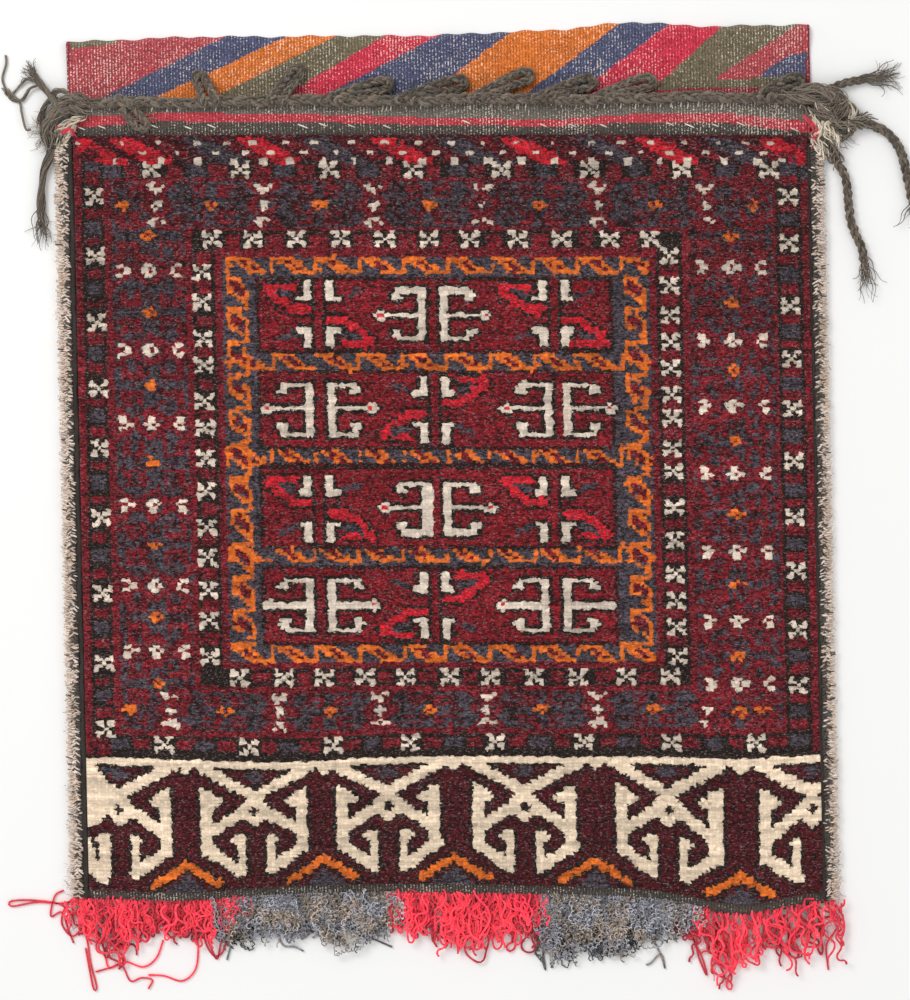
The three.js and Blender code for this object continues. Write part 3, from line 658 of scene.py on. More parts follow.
def curve_through(points, count):
    """Evenly spread points on a smooth curve through the given ones."""
    p = np.array(points, float)
    p = np.vstack((2 * p[0] - p[1], p, 2 * p[-1] - p[-2]))
    fine = []
    for i in range(1, len(p) - 2):
        t = np.linspace(0, 1, 24, endpoint=False)[:, None]
        a, b, c, d = p[i - 1:i + 3]
        bend = 2 * a - 5 * b + 4 * c - d
        twist = 3 * b - a - 3 * c + d
        fine.append(0.5 * (2 * b + (c - a) * t + bend * t ** 2 + twist * t ** 3))
    fine = np.vstack((*fine, p[-2:-1]))
    run = np.concatenate(([0], np.cumsum(np.linalg.norm(np.diff(fine, axis=0), axis=1))))
    places = np.linspace(0, run[-1], count)
    return np.stack([np.interp(places, run, fine[:, k]) for k in range(3)], axis=1)


def length_of(path):
    """Length along a path."""
    return float(np.linalg.norm(np.diff(path, axis=0), axis=1).sum())


def unit(vectors):
    """Vectors scaled to length 1."""
    return vectors / np.maximum(np.linalg.norm(vectors, axis=-1, keepdims=True), 1e-12)


def frames_along(paths):
    """Direction, sideways and upward vectors along paths that lie mostly flat."""
    ahead = unit(np.gradient(paths, axis=-2))
    side = unit(np.cross(np.broadcast_to(UP, ahead.shape), ahead))
    return ahead, side, np.cross(ahead, side)


class Yarns:
    """Collects yarns as closed tubes, with a shade for each yarn."""

    def __init__(self):
        self.points = []
        self.faces = []
        self.shades = []
        self.total = 0

    def add(self, paths, radii, sides, shades):
        """Adds yarns that have equally many points: paths (yarns, points, 3), radii (yarns, points)."""
        paths = np.asarray(paths, float)
        many, steps = paths.shape[:2]
        radii = np.broadcast_to(np.asarray(radii, float), (many, steps))
        ahead = unit(np.gradient(paths, axis=1))
        normal = np.empty_like(ahead)
        start = np.cross(ahead[:, 0], UP)
        steep = np.linalg.norm(start, axis=1) < 0.1
        start[steep] = np.cross(ahead[steep, 0], np.array((1.0, 0.0, 0.0)))
        normal[:, 0] = unit(start)
        for i in range(1, steps):
            turned = normal[:, i - 1]
            along = (turned * ahead[:, i]).sum(axis=1, keepdims=True)
            normal[:, i] = unit(turned - along * ahead[:, i])
        other = np.cross(ahead, normal)
        angle = np.arange(sides) * 2 * math.pi / sides
        ring = (
            normal[:, :, None] * np.cos(angle)[None, None, :, None]
            + other[:, :, None] * np.sin(angle)[None, None, :, None]
        )
        ring = paths[:, :, None] + ring * radii[:, :, None, None]
        index = self.total + np.arange(many * steps * sides).reshape(many, steps, sides)
        ahead_index = np.roll(index, -1, axis=2)
        walls = np.stack(
            (index[:, :-1], ahead_index[:, :-1], ahead_index[:, 1:], index[:, 1:]), axis=-1,
        )
        self.points.append(ring.reshape(-1, 3))
        self.faces.extend(walls.reshape(-1, 4).tolist())
        self.faces.extend(index[:, 0, ::-1].tolist())
        self.faces.extend(index[:, -1].tolist())
        self.shades.append(np.repeat(np.asarray(shades, float), steps * sides))
        self.total += many * steps * sides

    def build(self, name, material):
        """Makes the piece from the yarns collected."""
        piece = cloth_piece(name, np.vstack(self.points), self.faces, material)
        store(piece, "shade", "FLOAT", "POINT", np.concatenate(self.shades))
        return piece


def cloth_piece(name, points, faces, material):
    """A smooth mesh object at the origin, riding on the bag."""
    mesh = bpy.data.meshes.new(name)
    mesh.from_pydata(np.asarray(points).tolist(), [], faces)
    mesh.materials.append(material)
    mesh.shade_smooth()
    piece = bpy.data.objects.new(name, mesh)
    bpy.context.scene.collection.objects.link(piece)
    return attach(piece, BODY)


def store(piece, name, kind, domain, values):
    """Keeps a value for each point or face of a piece, for its material to read."""
    if kind == "FLOAT_COLOR":
        values = np.column_stack((values, np.ones(len(values))))
    field = {"FLOAT": "value", "FLOAT_VECTOR": "vector", "FLOAT_COLOR": "color"}[kind]
    layer = piece.data.attributes.new(name, kind, domain)
    layer.data.foreach_set(field, np.asarray(values, np.float32).ravel())


def add_node(tree, kind, links=(), output=0, **settings):
    """Adds a node with its settings and gives back one output; links holds a value or a feeding socket for
    each input, in their order or by name."""
    made = tree.nodes.new("ShaderNode" + kind)
    for name, value in settings.items():
        setattr(made, name, value)
    for socket, value in links.items() if isinstance(links, dict) else enumerate(links):
        if isinstance(value, bpy.types.NodeSocket):
            tree.links.new(value, made.inputs[socket])
        else:
            made.inputs[socket].default_value = value
    return made.outputs[output]


def new_material(name, roughness, sheen):
    """A matt material with its shader, whose tree the caller fills."""
    material = bpy.data.materials.new(name)
    material.use_nodes = True
    shader = material.node_tree.nodes["Principled BSDF"]
    shader.inputs["Roughness"].default_value = roughness
    shader.inputs["Sheen Weight"].default_value = sheen
    shader.inputs["Sheen Roughness"].default_value = 0.5
    shader.inputs["Specular IOR Level"].default_value = 0.2
    return material, shader


def feed_shader(material, shader, colour, height, strength, depth):
    """Gives a shader its colour, and bumps from a height."""
    tree = material.node_tree
    bumps = add_node(tree, "Bump", {"Height": height, "Strength": strength, "Distance": depth})
    tree.links.new(colour, shader.inputs["Base Color"])
    tree.links.new(bumps, shader.inputs["Normal"])
    return material


def rgba(colour):
    """A colour with full cover."""
    return (*colour, 1.0)


def pile_wool(colours):
    """Knotted sheep's wool, cut and showing wear: matt and fuzzy, painted shade between tufts and low on each
    knot, tips that mingle with the next knot, stray pale fibres and level streaks where one dye lot ends."""
    material, shader = new_material("Knotted wool pile", 0.93, 0.1)
    add = partial(add_node, material.node_tree)
    place = add("TexCoord", output="Object")
    knot = add("Attribute", output="Color", attribute_name="knot_colour")
    beside = add("Attribute", output="Color", attribute_name="beside_colour")
    tip = add("Attribute", output="Fac", attribute_name="tip")
    combed = add("Mapping", {"Vector": place, "Scale": (0.5, 1.0, 1.0)})
    level = add("Mapping", {"Vector": place, "Scale": (0.07, 1.0, 0.07)})
    grains = ((combed, 0.0014, 3.0), (combed, 0.0021, 2.0), (combed, 0.0011, 2.0), (level, 0.005, 3.0))
    fibre, stray, pale, streak = (
        add("TexNoise", {"Vector": way, "Scale": 1 / size, "Detail": detail, "Roughness": FIBRE_ROUGHNESS})
        for way, size, detail in grains
    )
    reach = add("Math", (tip, -0.17, stray), operation="MULTIPLY_ADD")
    share = add("MapRange", (reach, 0.465, 0.565, 0, 1))
    mingled = add("Mix", {0: share, 6: knot, 7: beside}, 2, data_type="RGBA")
    brightness = add("RGBToBW", (mingled,))
    dimming = add("MapRange", (brightness, 0.05, 0.45, 1, 0.12))
    # Painted shade between the tufts: dark colour mixed in where the fibre noise is low, less on bright wools
    gap_shade_share = add("MapRange", (fibre, 0.41, 0.60, 0.98, 0))
    gap_shade_share = add("Math", (gap_shade_share, dimming), operation="MULTIPLY")
    gap_shaded = add("Mix", {0: gap_shade_share, 6: mingled, 7: rgba(colours.pile_gap_shadow)}, 2, data_type="RGBA")
    dusty = add("MapRange", (pale, 0.57, 0.69, 0, 0.46))
    dusty = add("Math", (dusty, dimming), operation="MULTIPLY")
    flecked = add("Mix", {0: dusty, 6: gap_shaded, 7: rgba(colours.pile_dust)}, 2, data_type="RGBA")
    # Level streaks of tone, times painted shade: each knot darker from its tip down to the furrows
    streaks_and_furrow_shade = add("MapRange", (streak, 0.3, 0.7, 0.70, 1.36))
    painted_furrow_shade = add("MapRange", (tip, 0, 0.5, 0.84, 1))
    streaks_and_furrow_shade = add("Math", (streaks_and_furrow_shade, painted_furrow_shade), operation="MULTIPLY")
    shaded = add("VectorMath", {0: flecked, "Scale": streaks_and_furrow_shade}, operation="SCALE")
    return feed_shader(material, shader, shaded, fibre, 0.9, 0.0012)


def yarn_material(name, colours):
    """Spun yarn or hair: matt and fibrous, each strand its own shade, mottled along its length, with patches
    of a second tint. It is made at its first use."""
    if name in bpy.data.materials:
        return bpy.data.materials[name]
    colour, tint, roughness, sheen, spread, mottle, depth = YARN_LOOKS[name]
    material, shader = new_material(name, roughness, sheen)
    add = partial(add_node, material.node_tree)
    place = add("TexCoord", output="Object")
    shade = add("Attribute", output="Fac", attribute_name="shade")
    fibre, patch = (
        add("TexNoise", {"Vector": place, "Scale": 1 / size, "Detail": 3.0, "Roughness": FIBRE_ROUGHNESS})
        for size in (0.0016, 0.014)
    )
    share = add("MapRange", (patch, 0.45, 0.6, 0, 1))
    dyes = {6: rgba(getattr(colours, colour)), 7: rgba(getattr(colours, tint))}
    dyed = add("Mix", {0: share, **dyes}, 2, data_type="RGBA")
    strand = add("MapRange", (shade, 0, 2, 1 - spread, 1 + 3 * spread))
    grain = add("MapRange", (fibre, 0.3, 0.7, 1 - mottle, 1 + mottle))
    strength = add("Math", (strand, grain), operation="MULTIPLY")
    shaded = add("VectorMath", {0: dyed, "Scale": strength}, operation="SCALE")
    return feed_shader(material, shader, shaded, fibre, 0.6, depth)


def flat_weave(name, warp):
    """Weft-faced flat-woven wool: matt, in its stripes' colours, with fine ribs and pale warp showing as
    specks between them, painted light on the ribs' crests and painted shade between them. The ribs are
    2.2 mm apart, coarser than the real 1.2 mm, so that they show."""
    material, shader = new_material(name, 0.95, 0.1)
    add = partial(add_node, material.node_tree)
    cloth = add("Attribute", output="Vector", attribute_name="cloth")
    stripe = add("Attribute", output="Color", attribute_name="stripe")
    across = add("SeparateXYZ", (cloth,), "X")
    turn = add("Math", (across, 2 * math.pi / RIB_PITCH), operation="MULTIPLY")
    rib = add("Math", (turn,), operation="SINE")
    fibre, patch, wear = (
        add("TexNoise", {"Vector": cloth, "Scale": 1 / size, "Detail": detail})
        for size, detail in ((0.0012, 1.0), (0.045, 3.0), (0.004, 2.0))
    )
    show = add("Math", (patch, 0.6, fibre), operation="MULTIPLY_ADD")
    show = add("Math", (rib, 0.12, show), operation="MULTIPLY_ADD")
    share = add("MapRange", (show, 0.95, 1.08, 0, 0.62))
    flecked = add("Mix", {0: share, 6: stripe, 7: rgba(warp)}, 2, data_type="RGBA")
    # Painted light and shade: colour lighter on each rib's crest and darker between the ribs
    rib_light_and_shade = add("MapRange", (rib, -1, 1, 0.76, 1.2))
    grain = add("MapRange", (fibre, 0.3, 0.7, 0.62, 1.38))
    faded = add("MapRange", (wear, 0.3, 0.7, 0.84, 1.18))
    tone = add("Math", (rib_light_and_shade, grain), operation="MULTIPLY")
    tone = add("Math", (tone, faded), operation="MULTIPLY")
    shaded = add("VectorMath", {0: flecked, "Scale": tone}, operation="SCALE")
    height = add("Math", (rib, 0.3, fibre), operation="MULTIPLY_ADD")
    return feed_shader(material, shader, shaded, height, 0.6, 0.0007)


def box(u, v, left, top, right, foot):
    """Knots inside a rectangle."""
    return (u >= left) & (u < right) & (v >= top) & (v < foot)


def diamond(u, v, reach_u, reach_v):
    """Knots inside a diamond about the middle."""
    return np.abs(u) / reach_u + np.abs(v) / reach_v <= 1


def stroke(u, v, points, width):
    """Knots along a broken line of the given width."""
    inside = np.zeros(u.shape, bool)
    for (u0, v0), (u1, v1) in zip(points, points[1:]):
        run_u, run_v = u1 - u0, v1 - v0
        share = ((u - u0) * run_u + (v - v0) * run_v) / (run_u ** 2 + run_v ** 2)
        share = np.clip(share, 0, 1)
        away = np.hypot(u - u0 - share * run_u, v - v0 - share * run_v)
        inside |= away <= width / 2
    return inside


def polygon(u, v, points):
    """Knots inside a closed outline."""
    inside = np.zeros(u.shape, bool)
    for (u0, v0), (u1, v1) in zip(points, (*points[1:], points[0])):
        if v0 != v1:
            crosses = (v0 > v) != (v1 > v)
            inside ^= crosses & (u < u0 + (v - v0) * (u1 - u0) / (v1 - v0))
    return inside


def spread_out(shape):
    """A shape grown by one knot all round."""
    grown = shape.copy()
    grown[1:] |= shape[:-1]
    grown[:-1] |= shape[1:]
    grown[:, 1:] |= shape[:, :-1]
    grown[:, :-1] |= shape[:, 1:]
    return grown


class KnotChart:
    """The pile's pattern: a wool for each knot, from shapes that are rounded to knots as a weaver does."""

    def __init__(self):
        across = CHART_LEFT + (np.arange(KNOT_COLUMNS) + 0.5) * KNOT_WIDTH
        down = CHART_TOP + (np.arange(KNOT_ROWS) + 0.5) * KNOT_DEPTH
        self.x, self.y = np.meshgrid(across, down)
        self.wool = np.zeros(self.x.shape, int)
        self.draws = np.random.default_rng(PATTERN_SEED)

    def upright(self, x, y):
        """A place on the lying bag, moved to where it was before the sides leaned."""
        return x + SIDE_LEAN * (UNIT_TOP - y)

    def about(self, x, y, mirror_u=1, mirror_v=1):
        """Knot places measured from a point of the lying bag."""
        return (self.x - self.upright(x, y)) * mirror_u, (self.y - y) * mirror_v

    def fill(self, shape, wool, share=1.0):
        """Ties a shape in a wool, or only a share of its knots, here and there."""
        if share < 1:
            shape = shape & (self.draws.random(shape.shape) < share)
        self.wool[shape] = WOOLS.index(wool)

    def small_cross(self, x, y):
        """Four pale spots about one knot."""
        column = int((self.upright(x, y) - CHART_LEFT) / KNOT_WIDTH)
        row = int((y - CHART_TOP) / KNOT_DEPTH)
        pale = [(0, 0)]
        for down in (-1, 1):
            for across in (-1, 1):
                pale += [(down, across), (2 * down, 2 * across)]
                pale.append((down, 2 * across) if self.draws.random() < 0.7 else (2 * down, across))
        for down, across in pale:
            self.wool[row + down, column + across] = WOOLS.index("ivory")


def draw_frames(chart):
    """Borders and guard lines, one inside the next."""
    chart.fill(box(chart.x, chart.y, 0, 0, FAR, FAR), "ground")
    for left, top, right, foot, wool in FRAMES:
        chart.fill(box(chart.x, chart.y, left, top, right, foot), wool)
    chart.fill(box(chart.x, chart.y, 0, 0, FAR, PILE_HEADING), "ground")
    chart.fill(box(chart.x, chart.y, 0, BORDER_FOOT, FAR, LATTICE_HEADING), "brown")
    chart.fill(box(chart.x, chart.y, 0, LATTICE_HEADING, FAR, FAR), "ground")


def draw_guards(chart):
    """Blocks of both guards, then the small crosses between them."""
    for line, upright, kind, _, places in GUARD_RUNS:
        for first, second in zip(places, places[1:]):
            for share, wool, half_long, half_wide in GUARD_BLOCKS[kind]:
                middle = first + share * (second - first)
                u, v = (chart.y - middle, chart.x - line) if upright else chart.about(middle, line)
                chart.fill(box(u, v, -half_long, -half_wide, half_long, half_wide), wool)
    for line, upright, _, (before, after), places in GUARD_RUNS:
        for place in places[before:len(places) - after]:
            if upright:
                chart.small_cross(line - SIDE_LEAN * (UNIT_TOP - place), place)
            else:
                chart.small_cross(place, line)


def draw_border_run(chart, line, half, upright, whites, oranges):
    """One run of the main border: rows of white diamonds in red zigzags, hooked blocks and orange dots."""
    scale = half / BORDER_DRAWN_HALF

    def local(place):
        if upright:
            return chart.x - line, chart.y - place
        u, v = chart.about(place, line)
        return v, u

    for place in oranges:
        u, v = local(place)
        inside = np.abs(u) < half
        for side in (-1, 1):
            for end in (-1, 1):
                hook_u, hook_v = u * side, v * end
                block = box(hook_u, hook_v, 9 * scale, 5.5, 31 * scale, 22) & inside
                notch = box(hook_u, hook_v, 16 * scale, 11, 24 * scale, 23)
                chart.fill(block & ~notch, "red")
    for place in whites:
        u, v = local(place)
        inside = np.abs(u) < half
        for end in (-1, 1):
            low = v * end
            zigzag = [(across * scale, down) for across, down in BORDER_ZIGZAG]
            chart.fill(stroke(u, low, zigzag, 6.5) & inside, "red")
        for step in (-1, 0, 1):
            ring_u = u - 29 * scale * step
            if upright:
                chart.fill(diamond(ring_u, v, 10, 8) & inside, "red")
                for dot_u, dot_v in ((-5.2, 0), (5.2, 0), (0, -4.4), (0, 4.4)):
                    if dot_u * step <= 0:
                        chart.fill(box(ring_u - dot_u, v - dot_v, -3.2, -2.2, 3.2, 2.2) & inside, "ivory")
            else:
                ring = diamond(ring_u, v, 5.5, 5.5) if step == 0 else diamond(ring_u, v, 7, 10)
                core = box(ring_u * step, v, -0.5, -4, 12, 4) & (step != 0)
                chart.fill(ring & inside, "red")
                chart.fill(ring & ~core & inside, "ivory", 0.86)
    for place in oranges:
        u, v = local(place)
        reach_u, reach_v = (8.5, 5.5) if upright else (5.5, 8.5)
        chart.fill(diamond(u, v, reach_u, reach_v), "orange")
        chart.fill(diamond(u, v, 2.4, 2.4), "red")


def draw_main_border(chart):
    """The four runs of the main border, over a ground whose wools are mixed."""
    ground = box(chart.x, chart.y, *BORDER_FRAME) & ~box(chart.x, chart.y, *BORDER_HOLE)
    chart.fill(ground, "ground", 0.3)
    chart.fill(ground, "brown", 0.1)
    chart.fill(ground & (chart.x > BORDER_HOLE[2]), "red", 0.3)
    for run in BORDER_RUNS:
        draw_border_run(chart, *run)


def draw_slant_band(chart):
    """Slanting stripes at the mouth end, each with three pale dots."""
    inside = box(chart.x, chart.y, *SLANT_BOX)
    for wool, half_u, half_v, width, places in SLANTS:
        for x in places:
            u, v = chart.about(x, SLANT_Y)
            chart.fill(stroke(u, v, ((-half_u, -half_v), (half_u, half_v)), width) & inside, wool)
    for *_, places in SLANTS:
        for x in places:
            for step in (-1, 0, 1):
                u, v = chart.about(x + 19 * step, SLANT_Y + 9.5 * step)
                chart.fill(box(u, v, -2.8, -2, 2.8, 2), "ivory")


def draw_sprig(chart, u, v, lines, leaf, inside):
    """One repeat of the vine: its dark red leaf within orange lines."""
    chart.fill(polygon(u, v, leaf) & inside, "red")
    for line in lines:
        chart.fill(stroke(u, v, line, VINE_WIDTH) & inside, "orange")


def draw_vine(chart):
    """Vine with leaves: level runs between the compartments, stepped runs at the sides."""
    inside = box(chart.x, chart.y, *VINE_ROW_BOX)
    for middle in VINE_ROWS:
        for start in np.arange(*VINE_ROW_ENDS, VINE_UNIT):
            draw_sprig(chart, *chart.about(start, middle), VINE_ROW_LINES, VINE_ROW_LEAF, inside)
    for middle in VINE_COLUMNS:
        for start in np.arange(*VINE_COLUMN_ENDS, VINE_STEP):
            u, v = chart.x - middle, chart.y - start
            draw_sprig(chart, u, v, VINE_COLUMN_LINES, VINE_COLUMN_LEAF, True)


def comb_shape(u, v):
    """One comb of a pair, opening outwards."""
    shape = box(u, v, 6.5, -26.5, 14, 26.5)
    for end in (-1, 1):
        low = v * end
        shape |= box(u, low, 6.5, 22.4, 38, 26.6)
        shape |= polygon(u, low, ((33, 27.5), (43.5, 18.5), (41, 15), (31, 15), (33, 21)))
    shape |= box(u, v, 14, -2, 47, 2)
    eye = diamond(u - 52, v, 8.5, 6)
    return shape | eye, diamond(u - 52, v, 3, 2.4)


def draw_comb_pair(chart, x, y):
    """Two combs back to back about a red bar."""
    ivory = np.zeros(chart.x.shape, bool)
    cores = np.zeros(chart.x.shape, bool)
    for side in (-1, 1):
        shape, core = comb_shape(*chart.about(x, y, mirror_u=side))
        ivory |= shape
        cores |= core
    u, v = chart.about(x, y)
    chart.fill(spread_out(ivory), "brown")
    chart.fill(box(u, v, -7, -31, 7, 31), "brown")
    chart.fill(box(u, v, -3.7, -31, 3.7, 31), "madder")
    chart.fill(ivory, "ivory")
    chart.fill(cores, "scarlet")


def draw_cross(chart, x, y, lean):
    """Four brackets about a bar, with scarlet horns in two opposite quarters."""
    u, v = chart.about(x, y)
    chart.fill(box(u, v, -7, -36, 7, 36), "brown")
    chart.fill(box(u, v, -3.7, -36, 3.7, 36), "madder")
    ivory = np.zeros(chart.x.shape, bool)
    for side in (-1, 1):
        for end in (-1, 1):
            out, low = chart.about(x, y, mirror_u=side, mirror_v=end)
            inside = box(chart.x, chart.y, FIELD_LEFT + FIELD_EDGE, 0, FIELD_RIGHT - FIELD_EDGE, FAR)
            if side * end == lean:
                band = stroke(out, low, ((11, 6), (26, 6), (41, 16), (52, 27)), 7.5)
                band |= stroke(out, low, ((52, 28), (24, 29)), 6.5)
                chart.fill(spread_out(band) & inside, "brown")
                chart.fill(band & inside, "scarlet")
            else:
                chart.fill(box(out, low, 10, 4, 30, 9), "red")
            chart.fill(stroke(out, low, ((19, 16), (40, 24)), 5.6), "blue")
            bracket = box(out, low, 7.3, 13, 14.8, 33) | box(out, low, 7.3, 13, 20.5, 18)
            ivory |= bracket
    chart.fill(spread_out(ivory), "brown")
    chart.fill(ivory, "ivory")


def draw_field(chart):
    """Four compartments of combs and crosses by turns."""
    for top, foot in COMPARTMENTS:
        edge = box(chart.x, chart.y, FIELD_LEFT, top - 3, FIELD_RIGHT, foot + 3)
        chart.fill(edge, "ground")
        chart.fill(edge, "brown", 0.6)
        left, right = FIELD_LEFT + FIELD_EDGE, FIELD_RIGHT - FIELD_EDGE
        chart.fill(box(chart.x, chart.y, left, top + 1, right, foot - 1), "madder")
    for index, (y, *places) in enumerate(MOTIF_ROWS):
        crosses_outside = index % 2 == 0
        for spot, x in enumerate(places):
            if (spot == 1) == crosses_outside:
                draw_comb_pair(chart, x, y)
            else:
                draw_cross(chart, x, y, 1 if crosses_outside else -1)


def lattice_shape(u, v):
    """Right half of one repeat of the lattice about its crossing."""
    shape = stroke(u, v, ((0, 0), (54, -30)), 10)
    shape |= stroke(u, v, ((0, 8), (44, 37)), 10.5)
    shape |= polygon(u, v, ((0, -4), (22, 18), (11, 23), (0, 33)))
    shape |= box(u, v, 41.5, -6, 53, 60)
    shape |= polygon(u, v, ((53, -8), (48, -7), (30, 5), (34, 9), (41.5, 13), (53, 13)))
    shape |= stroke(u, v, ((48, 54), (15, 79)), 11)
    shape |= box(u, v, 11.5, 41, 18.5, 85)
    shape |= polygon(u, v, ((11.5, 40), (18, 40), (26, 47), (18, 50)))
    return shape & (u >= 0)


def draw_lattice(chart):
    """Ivory lattice of the foot panel, with a wavy top line and orange chevrons between its repeats."""
    ivory = box(chart.x, chart.y, 0, LATTICE_TOP_Y - 2.4, FAR, LATTICE_TOP_Y + 2.6)
    for end in LATTICE_LEFT_END:
        ivory |= polygon(chart.x, chart.y, end)
    for x in LATTICE_CROSSINGS:
        for side in (-1, 1):
            ivory |= lattice_shape(*chart.about(x, LATTICE_CROSSING_Y, mirror_u=side))
    for x in LATTICE_COLUMNS:
        u, v = chart.about(x, LATTICE_TOP_Y)
        ivory |= polygon(u, v, ((-16, 0), (16, 0), (6, 6), (0, 12), (-6, 6)))
    ivory &= chart.y > LATTICE_TOP_Y - 4
    chart.fill(spread_out(ivory) & (chart.y > BORDER_FOOT), "brown")
    chart.fill(ivory, "cream")
    for x in LATTICE_CROSSINGS:
        u, v = chart.about(x, LATTICE_CROSSING_Y)
        chart.fill(diamond(u, v + 20, 11, 7), "blue")
        plus = box(u, v, -5.5, 13, 5.5, 17) | box(u, v, -2, 9.5, 2, 20)
        chart.fill(plus, "brown")
    for x in LATTICE_COLUMNS:
        u, v = chart.about(x, CHEVRON_Y)
        legs = stroke(u, v, ((-33, 21), (0, 0), (33, 21)), 7.5)
        chart.fill(spread_out(legs), "brown")
        chart.fill(legs, "orange")
        chart.fill(polygon(u, v, ((0, 10), (22, 28), (-22, 28))), "blue")


def weave_chart():
    """The whole pattern, with a few stray knots."""
    chart = KnotChart()
    draw_frames(chart)
    draw_slant_band(chart)
    draw_main_border(chart)
    draw_guards(chart)
    draw_vine(chart)
    draw_field(chart)
    draw_lattice(chart)
    draws = np.random.default_rng(PATTERN_SEED)
    pale = (WOOLS.index("ivory"), WOOLS.index("cream"))
    for shift in ((0, 1), (0, -1), (1, 0), (-1, 0)):
        near = np.roll(chart.wool, shift, axis=(0, 1))
        stray = draws.random(near.shape) < STRAY_KNOTS
        stray &= ~np.isin(near, pale) & ~np.isin(chart.wool, pale)
        chart.wool[stray] = near[stray]
    return chart.wool


def dye_lots(columns, rows):
    """Darker wool in the borders above the place where one dye lot ends."""
    across = CHART_LEFT + (np.arange(columns)[None] + 0.5) * KNOT_WIDTH
    down = CHART_TOP + (np.arange(rows)[:, None] + 0.5) * KNOT_DEPTH
    border = (np.abs(across - DYE_LOT_MIDDLE) > DYE_LOT_HALF) | (down < DYE_LOT_TOP)
    return np.where(border, 0.84 + 0.24 * smoothstep(down, DYE_LOT_END - 10, DYE_LOT_END + 6), 1)


def face_top(x, y):
    """Height of the pile's tips above the floor."""
    return face_under(x, y) + WEAVE_THICKNESS + PILE_HEIGHT


class TENTBAG_OT_stage(bpy.types.Operator):
    """Lays the pale floor, hangs the soft lamps and sets the camera straight above the bag"""

    bl_idname = "tentbag.stage"
    bl_label = "Stage"

    def execute(self, context):
        colours = context.scene.tent_bag_colours
        bpy.ops.object.select_all(action="DESELECT")
        bpy.ops.mesh.primitive_plane_add(size=FLOOR_SIZE, location=(0, 0, 0))
        floor = context.object
        floor.name = "floor"
        # Matt white paint: soft shadows and no gloss
        material, shader = new_material("Matt white floor", 0.9, 0.0)
        shader.inputs["Base Color"].default_value = rgba(colours.floor)
        floor.data.materials.append(material)
        for name, place, size, power in LAMPS:
            bpy.ops.object.light_add(type="AREA", location=place)
            lamp = context.object
            lamp.name = name
            lamp.data.size = size
            lamp.data.energy = power
            x, y, z = place
            lamp.rotation_euler = (math.atan2(math.hypot(x, y), z), 0, math.atan2(x, -y))
        world = context.scene.world or bpy.data.worlds.new("Studio")
        context.scene.world = world
        world.use_nodes = True
        background = world.node_tree.nodes["Background"]
        background.inputs["Color"].default_value = (1.0, 1.0, 1.0, 1.0)
        background.inputs["Strength"].default_value = SKY_STRENGTH
        across, down = VIEW_MIDDLE
        above = ((across - UNIT_LEFT) * UNIT, (UNIT_TOP - down) * UNIT, CAMERA_DISTANCE + VIEW_LEVEL)
        bpy.ops.object.camera_add(location=above, rotation=(0, 0, 0))
        camera = context.object
        camera.data.sensor_width = CAMERA_SENSOR
        camera.data.lens = CAMERA_SENSOR * CAMERA_DISTANCE / (VIEW_HEIGHT * UNIT)
        camera.data.clip_end = CAMERA_REACH
        context.scene.camera = camera
        context.scene.view_settings.view_transform = "Standard"
        return {"FINISHED"}


def plait(yarns, path, diameter, draws, pitch=BRAID_PITCH * MM):
    """Three strands plaited along a path, each of several hair yarns."""
    count = max(30, int(length_of(path) / (pitch / 16)))
    path = curve_through(path, count)
    run = np.concatenate(([0], np.cumsum(np.linalg.norm(np.diff(path, axis=0), axis=1))))
    _, side, rise = frames_along(path)
    for strand in range(PLAIT_STRANDS):
        turn = 2 * math.pi * (run / pitch + strand / PLAIT_STRANDS)
        across = PLAIT_SWING * diameter * np.sin(turn)
        lift = PLAIT_LIFT * diameter * np.sin(2 * turn)
        way = path + side * across[:, None] + rise * lift[:, None]
        for yarn in range(STRAND_YARNS):
            spin = 2 * math.pi * (run / (pitch * 1.3) + yarn / STRAND_YARNS) + 0.3 * draws.standard_normal()
            out = STRAND_RADIUS * diameter * (1 + 0.2 * draws.standard_normal(count))
            fray = side * (out * np.cos(spin))[:, None] + rise * (out * np.sin(spin))[:, None]
            thick = YARN_RADIUS * diameter * (1 + 0.1 * draws.standard_normal(count))
            yarns.add((way + fray)[None], thick[None], 5, [draws.random()])


def hair_tuft(yarns, root, heading, length, count, fan, thickness, draws, curl=0.25, low=0.0012):
    """Loose hairs that fan out from a root, lie down and curl at their ends."""
    steps = 12
    share = np.linspace(0, 1, steps)
    turn = math.atan2(heading[1], heading[0]) + fan * draws.standard_normal(count)
    reach = length * (0.55 + 0.55 * draws.random(count))
    start = np.array(root) + HAIR_ROOT_SPREAD * draws.standard_normal((count, 3))
    start[:, 2] = np.maximum(start[:, 2], low)
    bend = curl * draws.standard_normal(count)
    angle = turn[:, None] + bend[:, None] * (share ** 2) * 3
    angle += 0.35 * np.sin(share * 9 + 6 * draws.random((count, 1)))
    step = reach[:, None] / (steps - 1)
    way = np.zeros((count, steps, 3))
    way[:, :, 0] = start[:, None, 0] + np.cumsum(np.cos(angle) * step, axis=1) - np.cos(angle[:, :1]) * step
    way[:, :, 1] = start[:, None, 1] + np.cumsum(np.sin(angle) * step, axis=1) - np.sin(angle[:, :1]) * step
    rest = low + HAIR_REST * draws.random((count, 1))
    way[:, :, 2] = start[:, 2:] + (rest - start[:, 2:]) * smoothstep(share, 0, 0.8)
    thin = 0.5 * thickness * (1 - 0.6 * share)[None] * (0.6 + 0.6 * draws.random((count, 1)))
    yarns.add(way, thin, 4, draws.random(count))


